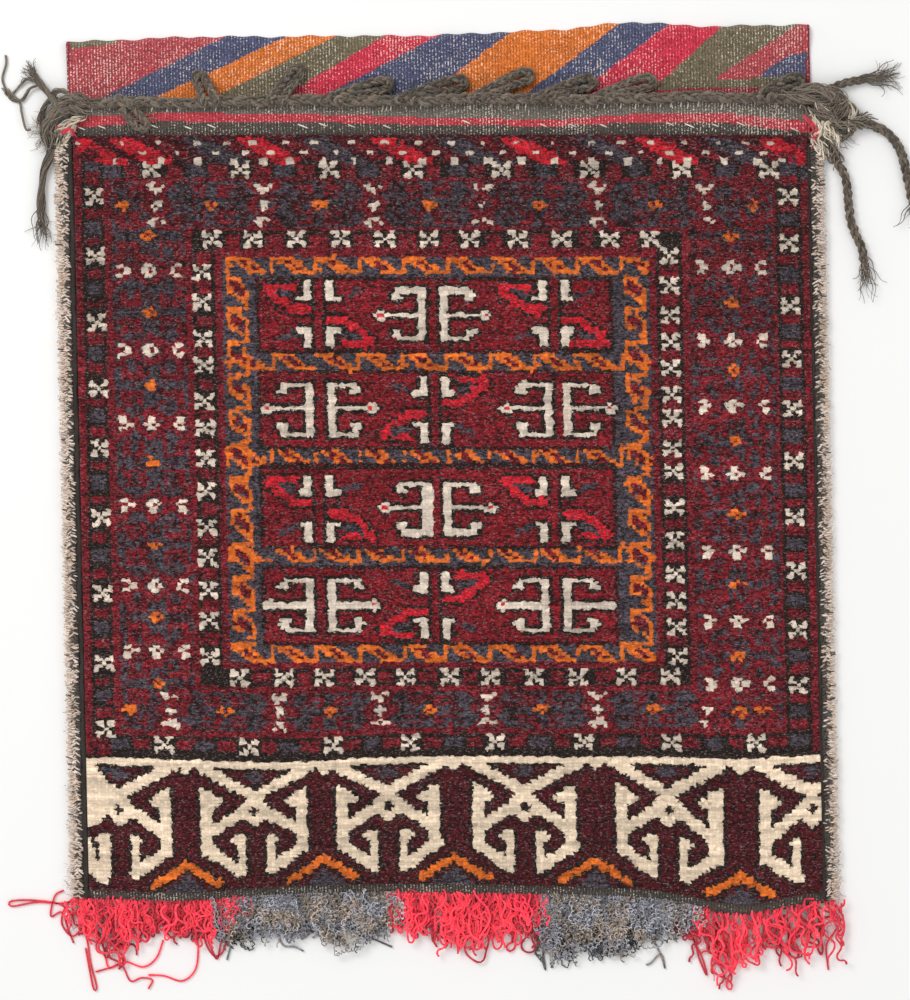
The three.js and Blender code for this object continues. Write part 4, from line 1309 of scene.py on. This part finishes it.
def hair_bundle(yarns, path, radius, count, thickness, draws, fray=0.0, shades=(0.0, 1.0)):
    """Hairs that run together along a path and may spread towards its end."""
    steps = 30
    way = curve_through(path, steps)
    ahead, side, rise = frames_along(way)
    share = np.linspace(0, 1, steps)
    start = 2 * math.pi * draws.random((count, 1))
    turn = start + share[None] * (3.5 + 3 * draws.standard_normal((count, 1)) * fray)
    out = radius * np.sqrt(draws.random((count, 1))) * (0.85 + 0.15 * np.sin(share * 9))
    out = out * (1 + fray * share ** 2)
    slide = draws.standard_normal((count, 1, 1)) * fray * radius * ahead[None]
    paths = way[None] + slide + side[None] * (out * np.cos(turn))[..., None]
    paths = paths + rise[None] * (out * np.sin(turn))[..., None]
    paths[..., 2] = np.maximum(paths[..., 2], HAIR_LOWEST)
    thick = np.full((count, steps), thickness / 2)
    yarns.add(paths, thick, 4, shades[0] + (shades[1] - shades[0]) * draws.random(count))


def finish_piece(piece, slot, *nodes):
    """Hides the solids that a piece stands for and gives the piece back; the slot is not used."""
    if nodes:
        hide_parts(*nodes)
    return piece


def state_cord(piece, route, diameter, far_end, *tufts):
    """Reads the first point of the route and does nothing more; the piece and the tufts are not used."""
    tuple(route[0])


def loop_route(root, angle, length):
    """Route of a closing loop, in metres as the bag lies."""
    turn = math.radians(angle)
    along = np.array((math.cos(turn), math.sin(turn)))
    normal = np.array((-along[1], along[0]))
    start_y = CORD_Y - LOOP_OVERLAP
    start_z = band_top(root) + CORD_SEAT + CORD_DIAMETER / 2 + LOOP_OVERLAP
    middle = np.array((root + LOOP_SPACING / 2, start_y + BRAID_DIAMETER))

    def place(share, sideways):
        spot = middle + along * share * length + normal * sideways
        fall = float(smoothstep(share, -0.4, 0.9))
        return (*spot, start_z + (LOOP_REST_Z - start_z) * fall)

    near = 1 - LOOP_HALF_WIDTH / length
    points = (
        (root, start_y, start_z),
        (root, start_y + BRAID_DIAMETER / 2, start_z),
        place(0.6, LOOP_HALF_WIDTH),
        place(near, LOOP_HALF_WIDTH),
        place(1, 0),
        place(near, -LOOP_HALF_WIDTH),
        place(0.6, -LOOP_HALF_WIDTH),
        (root + LOOP_SPACING, start_y + BRAID_DIAMETER / 2, start_z),
        (root + LOOP_SPACING, start_y, start_z),
    )
    return lay(curve_through(np.array(points) * MM, 60))


class TENTBAG_OT_closing_loops(bpy.types.Operator):
    """Plaits the eight closing loops that lie on the flap"""

    bl_idname = "tentbag.closing_loops"
    bl_label = "Closing loops"

    def execute(self, context):
        material = yarn_material("Goat hair", context.scene.tent_bag_colours)
        diameter = context.scene.tent_bag_sizes.braid_diameter
        for index, (root, angle, length) in enumerate(LOOPS):
            draws = np.random.default_rng(LOOP_SEED + index)
            name = f"closing_loop_{index + 1}"
            route = loop_route(root, angle, length)
            yarns = Yarns()
            plait(yarns, route, diameter, draws)
            piece = finish_piece(yarns.build(f"{name}_braid", material), "goat_hair", name)
            state_cord(piece, route, diameter, "object")
        return {"FINISHED"}


class TENTBAG_OT_ties(bpy.types.Operator):
    """Lays the loose ties and tufts at the corners of the mouth"""

    bl_idname = "tentbag.ties"
    bl_label = "Ties and tufts"

    def execute(self, context):
        colours = context.scene.tent_bag_colours
        sizes = context.scene.tent_bag_sizes
        material = yarn_material("Goat hair", colours)
        for name, form, seed, own_diameter, body_hairs, end_hairs, reach, fan, points in TIES:
            draws = np.random.default_rng(seed)
            diameter = own_diameter or sizes.braid_diameter
            route = lay(curve_through(np.array(points) * MM, TIE_POINTS))
            body = Yarns()
            if form == "braid":
                plait(body, route, diameter, draws)
            else:
                hair_bundle(body, route, diameter * 0.46, body_hairs, sizes.hair, draws)
            piece = finish_piece(body.build(f"{name}_{form}", material), "goat_hair", name)
            end = Yarns()
            tail = TIE_TAIL[form]
            heading = route[-1] - route[-2 * tail]
            hair_tuft(end, route[-tail], heading, reach, end_hairs, fan, sizes.hair, draws)
            tuft = finish_piece(end.build(f"{name}_end", material), "goat_hair")
            state_cord(piece, route, diameter, "bare", tuft)
        route = lay(curve_through(np.array(LEFT_YARN_END) * MM, TIE_POINTS))
        yarns = Yarns()
        yarns.add(route[None], np.full((1, TIE_POINTS), LEFT_YARN_DIAMETER / 2), 8, [0.8])
        piece = finish_piece(yarns.build("left_yarn_end_strand", material), "goat_hair", "left_yarn_end")
        state_cord(piece, route, LEFT_YARN_DIAMETER, "bare")
        return {"FINISHED"}


class TENTBAG_OT_mouth_cord(bpy.types.Operator):
    """Plaits the goat-hair cord along the mouth, with its stray hairs and the tuft in front of it"""

    bl_idname = "tentbag.mouth_cord"
    bl_label = "Mouth cord"

    def execute(self, context):
        colours = context.scene.tent_bag_colours
        sizes = context.scene.tent_bag_sizes
        material = yarn_material("Goat hair", colours)
        draws = np.random.default_rng(CORD_SEED)
        x = np.linspace(-CORD_END, CORD_END, CORD_POINTS)
        z = np.array([band_top(v) for v in x]) + CORD_SEAT + sizes.cord_diameter / MM / 2
        y = CORD_Y + 0.7 * np.sin(x / 23) + 0.5 * np.sin(x / 9.0)
        route = lay(np.stack((x, y, z), axis=1) * MM)
        yarns = Yarns()
        plait(yarns, route, sizes.cord_diameter, draws, CORD_PITCH * MM)
        piece = yarns.build("mouth_cord_braid", material)
        finish_piece(piece, "goat_hair", "mouth_cord")
        stray = Yarns()
        for place in draws.integers(2, CORD_POINTS - 3, STRAY_PAIRS):
            heading = (draws.standard_normal(), draws.standard_normal() - 0.3)
            root = route[place] + np.array((0, 0, 0.002))
            hair_tuft(stray, root, heading, STRAY_REACH, 2, 0.5, WISP, draws, curl=0.5, low=STRAY_LOW)
        finish_piece(stray.build("mouth_cord_stray_hairs", material), "goat_hair")
        tuft = Yarns()
        fold = curve_through(spots(*MOUTH_TUFT), 50)
        plait(tuft, fold, MOUTH_TUFT_DIAMETER, draws)
        for place in (12, 22, 32, 42):
            hair_tuft(
                tuft, fold[place], MOUTH_TUFT_HEADING, MOUTH_TUFT_REACH, 12, 0.9, sizes.hair, draws,
                curl=0.5, low=MOUTH_TUFT_LOW,
            )
        finish_piece(tuft.build("mouth_tuft_hair", material), "goat_hair", "mouth_tuft")
        return {"FINISHED"}


class TENTBAG_OT_corner_knots(bpy.types.Operator):
    """Tangles hair and yarn at the two corners of the mouth"""

    bl_idname = "tentbag.corner_knots"
    bl_label = "Corner knots"

    def execute(self, context):
        colours = context.scene.tent_bag_colours
        hair = context.scene.tent_bag_sizes.hair
        for index, (name, tangle) in enumerate(TANGLES):
            draws = np.random.default_rng(KNOT_SEED + index)
            lumps = {wool: Yarns() for wool in TANGLE_WOOLS}
            for wool, places, radius, count in tangle:
                thickness = hair if wool == "dark" else hair * 1.4
                route = spots(*places)
                hair_bundle(
                    lumps[wool], route, radius * MM, count, thickness, draws, TANGLE_FRAY, TANGLE_SHADES,
                )
            low, high = (np.array(corner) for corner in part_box(name))
            middle = (low + high) / 2
            for turn in range(TANGLE_TURNS):
                heading = (math.cos(turn * TANGLE_TURN), math.sin(turn * TANGLE_TURN))
                for wool, reach, count, curl in TANGLE_WISPS:
                    hair_tuft(lumps[wool], middle, heading, reach, count, 0.5, hair * 0.7, draws, curl=curl)
            for wool, (ending, material, slot) in TANGLE_WOOLS.items():
                nodes = [name] if wool == "dark" else []
                piece = lumps[wool].build(f"{name}_{ending}", yarn_material(material, colours))
                finish_piece(piece, slot, *nodes)
        return {"FINISHED"}


def amid(values):
    """Mean of the four values about each gap of a grid."""
    return (values[1:, 1:] + values[:-1, 1:] + values[1:, :-1] + values[:-1, :-1]) / 4


class TENTBAG_OT_pile_face(bpy.types.Operator):
    """Knots the pile face with its pattern, and weaves the flat bands at its mouth and foot"""

    bl_idname = "tentbag.pile_face"
    bl_label = "Pile face"

    def execute(self, context):
        colours = context.scene.tent_bag_colours
        sizes = context.scene.tent_bag_sizes
        pile = finish_piece(self.knot_pile(colours, sizes), "pile_wool", "pile_face_panel")
        band, foot = (finish_piece(piece, "kilim_wool") for piece in self.weave_band(colours))
        stitches = finish_piece(self.sew_stitches(colours), "lacing_yarn")
        return {"FINISHED"}

    def knot_pile(self, colours, sizes):
        """One soft tip for each knot, closed below by the weave's back."""
        wool = weave_chart()
        draws = np.random.default_rng(PILE_SEED)
        rows, columns = wool.shape
        left, right = ((edge - UNIT_LEFT) * UNIT for edge in (CHART_LEFT, CHART_RIGHT))
        top, foot = ((UNIT_TOP - edge) * UNIT for edge in (CHART_TOP, CHART_FOOT))
        x, y = np.meshgrid(np.linspace(left, right, columns + 1), np.linspace(top, foot, rows + 1))
        rise = np.array(WOOL_RISE)[wool] + TIP_UNEVEN * draws.standard_normal(wool.shape)
        between = amid(np.pad(rise, 1, mode="edge"))
        z = face_top(x, y) + between - sizes.furrow
        inner = np.zeros(x.shape)
        inner[1:-1, 1:-1] = 1
        x = x + sizes.knot_play * draws.standard_normal(x.shape) * inner
        y = y + sizes.knot_play * draws.standard_normal(y.shape) * inner
        tip_x = amid(x)
        tip_y = amid(y) - TIP_LEAN
        tips = np.stack((tip_x, tip_y, face_top(tip_x, tip_y) + rise), axis=-1)
        corners = np.stack((x, y, z), axis=-1)
        corner = np.arange((rows + 1) * (columns + 1)).reshape(rows + 1, columns + 1)
        tip = corner.size + np.arange(rows * columns).reshape(rows, columns)
        upper_left, upper_right = corner[:-1, :-1], corner[:-1, 1:]
        lower_left, lower_right = corner[1:, :-1], corner[1:, 1:]
        knots = np.stack(
            (upper_left, lower_left, tip, lower_left, lower_right, tip,
             lower_right, upper_right, tip, upper_right, upper_left, tip), axis=-1,
        )
        faces = knots.reshape(-1, 3).tolist()
        dyes = np.array([getattr(colours, name)[:] for name in WOOLS])
        dye = self.dye_knots(dyes, wool, draws)
        paint = [np.repeat(dye.reshape(-1, 3), 4, axis=0)]
        beside = self.dyes_beside(dye, wool)
        back = dyes[WOOLS.index("brown")]
        under = self.close_below(x, y, corner, corner.size + tip.size, dye, back, faces, paint)
        points = np.vstack((corners.reshape(-1, 3), tips.reshape(-1, 3), under))
        points[:, 1] -= wander(points[:, 0], points[:, 1])
        piece = cloth_piece("pile_face", lay(points), faces, pile_wool(colours))
        paint = np.vstack(paint)
        beside = np.vstack((beside, paint[len(beside):]))
        store(piece, "knot_colour", "FLOAT_COLOR", "FACE", paint)
        store(piece, "beside_colour", "FLOAT_COLOR", "FACE", beside)
        height = np.zeros(len(points))
        height[corner.size:corner.size + tip.size] = 1
        store(piece, "tip", "FLOAT", "POINT", height)
        return piece

    def dye_knots(self, dyes, wool, draws):
        """Colour of each knot: its wool's dye, uneven from knot to knot, row to row and lot to lot."""
        rows, columns = wool.shape
        shade = 1 + KNOT_SHADE * draws.standard_normal(wool.shape)
        shade = shade + ROW_SHADE * draws.standard_normal((rows, 1))
        shade *= dye_lots(columns, rows)
        return dyes[wool] * np.clip(shade, *SHADE_LIMITS)[..., None]

    def dyes_beside(self, dye, wool):
        """Colour that mingles into each side of a knot: its neighbour's, and more of its own if bright."""
        about = np.pad(dye, ((1, 1), (1, 1), (0, 0)), mode="edge")
        beside = np.stack((about[1:-1, :-2], about[2:, 1:-1], about[1:-1, 2:], about[:-2, 1:-1]), axis=2)
        bright = np.isin(wool, [WOOLS.index(name) for name in BRIGHT_WOOLS])[..., None, None]
        own = beside + BRIGHT_KEEPS * (dye[:, :, None] - beside)
        return np.where(bright, own, beside).reshape(-1, 3)

    def close_below(self, x, y, corner, count, dye, back, faces, paint):
        """Adds a wall round the pile's rim and wide faces underneath, and gives back the points they need."""
        rows, columns = dye.shape[:2]
        rim = [(rows, j) for j in range(columns)] + [(i, columns) for i in range(rows, 0, -1)]
        rim += [(0, j) for j in range(columns, 0, -1)] + [(i, 0) for i in range(rows)]
        inner_rows = range(BACK_DOWN, rows, BACK_DOWN)
        inner_columns = range(BACK_ACROSS, columns, BACK_ACROSS)
        inside = [(i, j) for i in inner_rows for j in inner_columns]
        below = {spot: count + place for place, spot in enumerate(rim + inside)}
        for (i, j), (k, m) in zip(rim, rim[1:] + rim[:1]):
            faces.append((below[i, j], below[k, m], int(corner[k, m]), int(corner[i, j])))
            paint.append(dye[min(i, k, rows - 1), min(j, m, columns - 1)][None])
        for i in range(0, rows, BACK_DOWN):
            for j in range(0, columns, BACK_ACROSS):
                k, m = min(i + BACK_DOWN, rows), min(j + BACK_ACROSS, columns)
                side = [(i, c) for c in range(j, m)] + [(r, m) for r in range(i, k)]
                side += [(k, c) for c in range(m, j, -1)] + [(r, j) for r in range(k, i, -1)]
                faces.append([below[spot] for spot in side if spot in below])
                paint.append(back[None])
        under_x, under_y = (np.array([grid[spot] for spot in below]) for grid in (x, y))
        return np.column_stack((under_x, under_y, face_under(under_x, under_y)))

    def weave_band(self, colours):
        """The flat-woven bands between the pile and the mouth and at the foot, with the red stripe."""
        grey = np.array(colours.band_grey)
        dark = np.array(colours.band_dark)
        red = np.array(colours.band_red)

        def stripes(x, y):
            middle = np.interp(x, BAND_STRIPE_X, BAND_STRIPE_Y)
            colour = np.where((y > middle)[:, None], dark, grey)
            colour[np.abs(y - middle) < np.interp(x, BAND_STRIPE_X, BAND_STRIPE_HALF)] = red
            return colour

        x = np.linspace(-HALF_WIDTH, HALF_WIDTH, WEAVE_COLUMNS)
        y = np.linspace(PILE_TOP_Y - 0.003, BAND_MOUTH_Y, 27)

        def upper(grid_x, grid_y):
            ripple = 0.0004 * np.sin(grid_x / 0.011) * np.sin(grid_y / 0.004)
            return face_under(grid_x, grid_y) + WEAVE_THICKNESS + ripple

        material = flat_weave("Flat-woven band", colours.warp)
        band = woven_sheet("mouth_band", x, y, upper, face_under, stripes, material)
        foot_y = np.linspace(FOOT_Y - 0.002, PILE_FOOT_Y + 0.004, 7)

        def foot_upper(grid_x, grid_y):
            thickness = 0.0012 + 0.0022 * smoothstep(grid_y, FOOT_Y - 0.001, FOOT_Y + 0.008)
            return face_under(grid_x, grid_y) + thickness

        def foot_lower(grid_x, grid_y):
            return np.full(grid_x.shape, FACE_SEAT)

        foot = woven_sheet("foot_band", x, foot_y, foot_upper, foot_lower, stripes, material)
        return band, foot

    def sew_stitches(self, colours):
        """White running stitches along the mouth band."""
        draws = np.random.default_rng(STITCH_SEED)
        yarns = Yarns()
        share = np.linspace(-0.5, 0.5, STITCH_POINTS)
        for row, pitch, across, along in STITCH_ROWS:
            for x in np.arange(-STITCH_END, STITCH_END, pitch):
                if draws.random() < STITCHES_WORN:
                    continue
                start_x = x + 0.003 * draws.standard_normal()
                start_y = row + 0.0008 * draws.standard_normal()
                size = 0.7 + 0.6 * draws.random()
                way_x = start_x + across * size * share
                way_y = start_y + along * size * share
                z = face_under(way_x, way_y) + WEAVE_THICKNESS + 0.0008 * np.cos(share * math.pi) - 0.0002
                path = np.stack((way_x, way_y, z), axis=1)
                thick = np.full((1, STITCH_POINTS), STITCH_RADIUS)
                yarns.add(lay(path)[None], thick, 5, [draws.random()])
        return yarns.build("mouth_band_stitches", yarn_material("White cotton stitches", colours))


def woven_sheet(name, x, y, upper, lower, stripes, material, stretch=None):
    """A closed sheet between two heights, with its stripes' colours and its straight-built places."""
    grid_x, grid_y = np.meshgrid(x, y)
    rows, columns = grid_x.shape
    top = np.stack((grid_x, grid_y, upper(grid_x, grid_y)), axis=-1).reshape(-1, 3)
    base = np.stack((grid_x, grid_y, lower(grid_x, grid_y)), axis=-1).reshape(-1, 3)
    index = np.arange(rows * columns).reshape(rows, columns)
    quads = np.stack((index[:-1, :-1], index[:-1, 1:], index[1:, 1:], index[1:, :-1]), axis=-1)
    quads = quads.reshape(-1, 4)
    faces = quads.tolist() + (quads[:, ::-1] + index.size).tolist()
    rim = list(index[0, :-1]) + list(index[:-1, -1]) + list(index[-1, :0:-1]) + list(index[:0:-1, 0])
    for a, b in zip(rim, rim[1:] + rim[:1]):
        faces.append((int(a) + index.size, int(b) + index.size, int(b), int(a)))
    points = np.vstack((top, base))
    straight = points.copy()
    points[:, 1] -= wander(points[:, 0], points[:, 1])
    if stretch:
        points[:, 1] += stretch(points[:, 0], points[:, 1])
    laid = lay(points)
    piece = cloth_piece(name, laid, faces, material)
    store(piece, "cloth", "FLOAT_VECTOR", "POINT", straight)
    middles = np.array([laid[list(face)].mean(axis=0) for face in faces])
    store(piece, "stripe", "FLOAT_COLOR", "FACE", stripes(*chart_place(middles)))
    return piece


def flap_edge(x):
    """How far the flap's folded top edge stands beyond a straight line."""
    return humps(x, FLAP_HUMPS)


def flap_stripes(colours):
    """Colours of the slanting stripes, by place on the lying bag in pattern units."""
    dyes = np.array([getattr(colours, "stripe_" + name)[:] for name in STRIPE_ORDER])

    def paint(x, y):
        below = np.maximum(y - STRIPE_MOUTH_Y, 0)
        at = FLAP_LEFT + np.mod(x + STRIPE_SLANT * below - FLAP_LEFT, FLAP_SPAN)
        draws = np.random.default_rng(STRIPE_SEED)
        at = at + 0.5 * draws.standard_normal(len(at))
        place = np.zeros(len(x), int)
        for top, mouth in STRIPE_EDGES:
            top_y = FLAP_TOP_LEFT_Y - MOUTH_TILT * (top - FLAP_LEFT)
            share = (STRIPE_MOUTH_Y - np.minimum(y, STRIPE_MOUTH_Y)) / (STRIPE_MOUTH_Y - top_y)
            place += at > mouth + (top - mouth) * share
        colour = dyes[place]
        on_flap = y < STRIPE_MOUTH_Y + 8
        for name, strength, outline in FLAP_PATCHES:
            dye = np.array(getattr(colours, "stripe_" + name)[:])
            colour[polygon(x, y, outline) & on_flap] = dye * strength
        edge = on_flap & ((x < FLAP_LEFT + 2.5) | (x > FLAP_LEFT + FLAP_SPAN - 5))
        colour[edge] = np.array(colours.stripe_rose[:]) * FLAP_EDGE_STRENGTH
        return colour

    return paint


class TENTBAG_OT_kilim_back(bpy.types.Operator):
    """Weaves the striped back, whose flap stands above the mouth"""

    bl_idname = "tentbag.kilim_back"
    bl_label = "Striped back"

    def execute(self, context):
        colours = context.scene.tent_bag_colours
        x = np.linspace(-HALF_WIDTH, HALF_WIDTH, WEAVE_COLUMNS)
        body = np.linspace(FOOT_Y, MOUTH_Y - 0.012, 60)
        flap = np.linspace(MOUTH_Y - 0.010, TOP_Y - FLAP_FOLD, 44)
        fold = TOP_Y - FLAP_FOLD * (1 - np.sin(np.linspace(0.15, 1, 6) * math.pi / 2))
        y = np.concatenate((body, flap, fold))

        def upper(grid_x, grid_y):
            roll = smoothstep(grid_y, TOP_Y - 0.02, TOP_Y - 0.006)
            edge = np.sqrt(np.clip(1 - smoothstep(grid_y, TOP_Y - FLAP_FOLD, TOP_Y + 0.0002), 0.04, 1))
            wave = 0.0012 * np.sin(grid_x / 0.035 + 2) + 0.0006 * np.sin(grid_x / 0.011 + grid_y / 0.012)
            wave = wave * smoothstep(grid_y, MOUTH_Y, TOP_Y - 0.01)
            return (WEAVE_THICKNESS + 0.0016 * roll + np.maximum(wave, -0.001)) * edge

        def lower(grid_x, grid_y):
            return np.zeros(grid_x.shape)

        def stretch(flat_x, flat_y):
            ragged = 0.0005 * np.sin(flat_x / 0.0031) + 0.0004 * np.sin(flat_x / 0.0083)
            return smoothstep(flat_y, MOUTH_Y, TOP_Y) * (flap_edge(flat_x) + ragged)

        material = flat_weave("Striped flat-woven wool", colours.warp)
        piece = woven_sheet("kilim_back", x, y, upper, lower, flap_stripes(colours), material, stretch)
        finish_piece(piece, "kilim_wool", "kilim_back_panel")
        return {"FINISHED"}


class TENTBAG_OT_side_lacing(bpy.types.Operator):
    """Overcasts both sides: a plain pale roll outside, a chain of fine stitches over a dark core inside"""

    bl_idname = "tentbag.side_lacing"
    bl_label = "Side lacing"

    def execute(self, context):
        colours = context.scene.tent_bag_colours
        stitch = context.scene.tent_bag_sizes.stitch
        yarn = yarn_material("Overcast wool and cotton yarn", colours)
        for name, side, shift, brown in LACED_SIDES:
            draws = np.random.default_rng(LACING_SEED + side)
            yarns = Yarns()
            for x, z, tone in LACING_CORES:
                self.lengthwise(yarns, side, x + shift, z, tone, draws)
            for middle, reach, height, fall, lean, dark in LACING_ROWS:
                places = np.arange(FOOT_Y + 0.002, LACING_TOP_Y, stitch)
                share = np.linspace(-0.5, 0.5, 5)
                count = len(places)
                jitter = LACING_JITTER * draws.standard_normal((3, count, 1))
                width = reach * (0.8 + 0.5 * draws.random((count, 1)))
                slant = lean * (1 + draws.standard_normal((count, 1)))
                paths = np.empty((count, 5, 3))
                paths[..., 0] = side * (middle + shift + width * share[None] + jitter[0])
                paths[..., 1] = places[:, None] + slant * share[None] + jitter[1]
                paths[..., 2] = height + LACING_ARCH * np.cos(share * math.pi)
                paths[..., 2] += 0.5 * jitter[2] - fall * width * share[None]
                paths[..., 1] -= wander(paths[..., 0], paths[..., 1])
                tone = 0.34 + 0.24 * draws.random(count)
                tone[draws.random(count) < dark * brown] = 0.04
                yarns.add(lay(paths), stitch * (0.34 + 0.2 * draws.random((count, 1))), 4, tone)
            self.fuzz(yarns, side, shift, draws)
            finish_piece(yarns.build(f"{name}_yarn", yarn), "lacing_yarn", name)
        return {"FINISHED"}

    def lengthwise(self, yarns, side, x, z, tone, draws):
        """A yarn that runs along the side under the stitches."""
        steps = 120
        y = np.linspace(FOOT_Y + 0.001, LACING_TOP_Y, steps)
        sway = 0.0005 * np.sin(y / 0.012 + 6 * draws.random()) + 0.0004 * draws.standard_normal(steps)
        path = np.stack((side * (x + sway), y, np.full(steps, z)), axis=1)
        path[:, 1] -= wander(path[:, 0], path[:, 1])
        thick = LACING_CORE_RADIUS * (1 + 0.06 * draws.standard_normal(steps))
        yarns.add(lay(path)[None], thick[None], 8, [tone])

    def fuzz(self, yarns, side, shift, draws):
        """Worn fibres that stand out from the outer edge, longest at the foot."""
        edge_x, edge_z = LACING_EDGE
        for y in draws.uniform(FOOT_Y, LACING_TOP_Y, LACING_FIBRES):
            root = lay(np.array((side * (edge_x + shift), y, edge_z)))
            length = 0.0026 + 0.006 * float(smoothstep(-y, 0.27, 0.31))
            heading = (side, draws.standard_normal())
            hair_tuft(yarns, root, heading, length, 2, 0.5, WISP, draws, curl=0.5)


class TENTBAG_OT_fringe(bpy.types.Operator):
    """Knots the red and grey fringe into the foot"""

    bl_idname = "tentbag.fringe"
    bl_label = "Fringe"

    def execute(self, context):
        colours = context.scene.tent_bag_colours
        sizes = context.scene.tent_bag_sizes
        materials = {
            "red": yarn_material("Two-ply red yarn", colours),
            "grey": yarn_material("Curly grey wool", colours),
        }
        thickness = {"red": sizes.red_yarn, "grey": sizes.grey_yarn}
        for index, (name, wool, left, right, spacing, lengths) in enumerate(FRINGE_GROUPS):
            draws = np.random.default_rng(FRINGE_SEED + index)
            yarns = Yarns()
            style = FRINGE_STRANDS[wool]
            self.strands(yarns, (left, right, spacing, lengths), thickness[wool], style, draws)
            fuzz = (*style[:4], 26, 3)
            shorter = [0.8 * length for length in lengths]
            self.strands(yarns, (left, right, 1.6 * spacing, shorter), FRINGE_FUZZ, fuzz, draws)
            for places in LONG_STRANDS.get(name, ()):
                route = spots(*[(x, y, LONG_STRAND_HEIGHT) for x, y in places])
                path = curve_through(route, LONG_STRAND_POINTS)
                thick = np.full((1, LONG_STRAND_POINTS), LONG_STRAND_RADIUS)
                yarns.add(path[None], thick, 6, [draws.random()])
            finish_piece(yarns.build(f"{name}_yarn", materials[wool]), f"{wool}_fringe_yarn", name)
        return {"FINISHED"}

    def strands(self, yarns, run, thickness, style, draws):
        """Strands that wind their way out of the foot in locks; some coil and some turn back as loops."""
        left, right, spacing, lengths = run
        waves, swing, coil, turning, steps, sides = style
        count = int((right - left) / spacing)
        at = (np.arange(count) + draws.random(count)) / count
        lock = (at * (right - left) / LOCK_WIDTH).astype(int)
        lock_lean, lock_length = draws.standard_normal((2, lock.max() + 1))
        share = np.linspace(0, 1, steps)[None]
        x = (left + (right - left) * at) * MM
        y = FOOT_Y + 0.001 - foot_drop(x)
        drop = np.interp(at, np.linspace(0, 1, len(lengths)), lengths) * MM
        drop = drop * (0.62 + 0.42 * draws.random(count)) * (1 + 0.12 * lock_length[lock])
        phase = 2 * math.pi * draws.random((3, count, 1))
        rate = waves * (0.6 + 0.8 * draws.random((count, 1)))
        lean = 0.22 * lock_lean[lock] + 0.25 * draws.standard_normal(count)
        angle = -math.pi / 2 + lean[:, None] * smoothstep(share, 0.05, 0.6)
        angle = angle + swing * np.sin(2 * math.pi * rate * share + phase[0]) * smoothstep(share, 0, 0.15)
        angle = angle + 0.5 * swing * np.sin(2 * math.pi * 0.37 * rate * share + phase[1])
        back = np.sign(draws.standard_normal((count, 1))) * (draws.random((count, 1)) < turning)
        angle = angle + math.pi * back * smoothstep(share, 0.46, 0.57)
        out = np.cumsum(np.cos(angle), axis=1) / steps
        down = np.cumsum(np.sin(angle), axis=1) / steps
        scale = (drop / np.maximum(-down.min(axis=1), 0.3))[:, None]
        spin = 2 * math.pi * share * scale / (COIL_PITCH * MM) + phase[2]
        ring = coil * MM * smoothstep(share, 0, 0.1) * (0.6 + 0.8 * draws.random((count, 1)))
        height = draws.random((count, 1))
        settle = smoothstep(share, 0.03, 0.3)
        paths = np.empty((count, steps, 3))
        paths[..., 0] = x[:, None] + STRAND_STRAY * np.tanh(out * scale / STRAND_STRAY) + ring * np.cos(spin)
        paths[..., 1] = y[:, None] + np.minimum(down * scale, 0.001) + ring * np.sin(spin)
        paths[..., 2] = FRINGE_ROOT_Z * (1 - settle) + (FRINGE_LOW + FRINGE_PILED * height) * settle
        paths[..., 2] += 0.0006 * np.sin(share * 40 + phase[1]) + 0.5 * ring * np.sin(spin + 1)
        paths[..., 2] = np.maximum(paths[..., 2], thickness * 0.55)
        thick = thickness / 2 * (1 + 0.12 * np.sin(share * 90 + phase[0]))
        # Random tone, plus painted shade: strands lying lower in the fringe are darker, those on top lighter
        tone = np.clip(0.9 * draws.random(count) + 0.95 * height[:, 0] - 0.42, 0, 1.4)
        yarns.add(lay(paths), thick, sides, tone)


class TENTBAG_PT_panel(bpy.types.Panel):
    """Lists the steps that build the bag"""

    bl_idname = "TENTBAG_PT_panel"
    bl_label = "Tent Bag"
    bl_space_type = "VIEW_3D"
    bl_region_type = "UI"
    bl_category = "Tent Bag"

    def draw(self, context):
        for settings in (context.scene.tent_bag_sizes, context.scene.tent_bag_colours):
            for name in settings.__annotations__:
                self.layout.prop(settings, name)
        for step in STEPS:
            self.layout.operator(step.bl_idname)


STEPS = (
    TENTBAG_OT_stage,
    TENTBAG_OT_closing_loops,
    TENTBAG_OT_ties,
    TENTBAG_OT_mouth_cord,
    TENTBAG_OT_corner_knots,
    TENTBAG_OT_pile_face,
    TENTBAG_OT_kilim_back,
    TENTBAG_OT_side_lacing,
    TENTBAG_OT_fringe,
)
CLASSES = (TentBagColours, TentBagSizes, *STEPS, TENTBAG_PT_panel)


def register():
    for made in CLASSES:
        bpy.utils.register_class(made)
    bpy.types.Scene.tent_bag_colours = bpy.props.PointerProperty(type=TentBagColours)
    bpy.types.Scene.tent_bag_sizes = bpy.props.PointerProperty(type=TentBagSizes)


def unregister():
    del bpy.types.Scene.tent_bag_sizes
    del bpy.types.Scene.tent_bag_colours
    for made in reversed(CLASSES):
        bpy.utils.unregister_class(made)


def main():
    register()
    bpy.ops.tentbag.stage()
    bpy.ops.tentbag.closing_loops()
    bpy.ops.tentbag.ties()
    bpy.ops.tentbag.mouth_cord()
    bpy.ops.tentbag.corner_knots()
    bpy.ops.tentbag.pile_face()
    bpy.ops.tentbag.kilim_back()
    bpy.ops.tentbag.side_lacing()
    bpy.ops.tentbag.fringe()


if __name__ == "__main__":
    main()
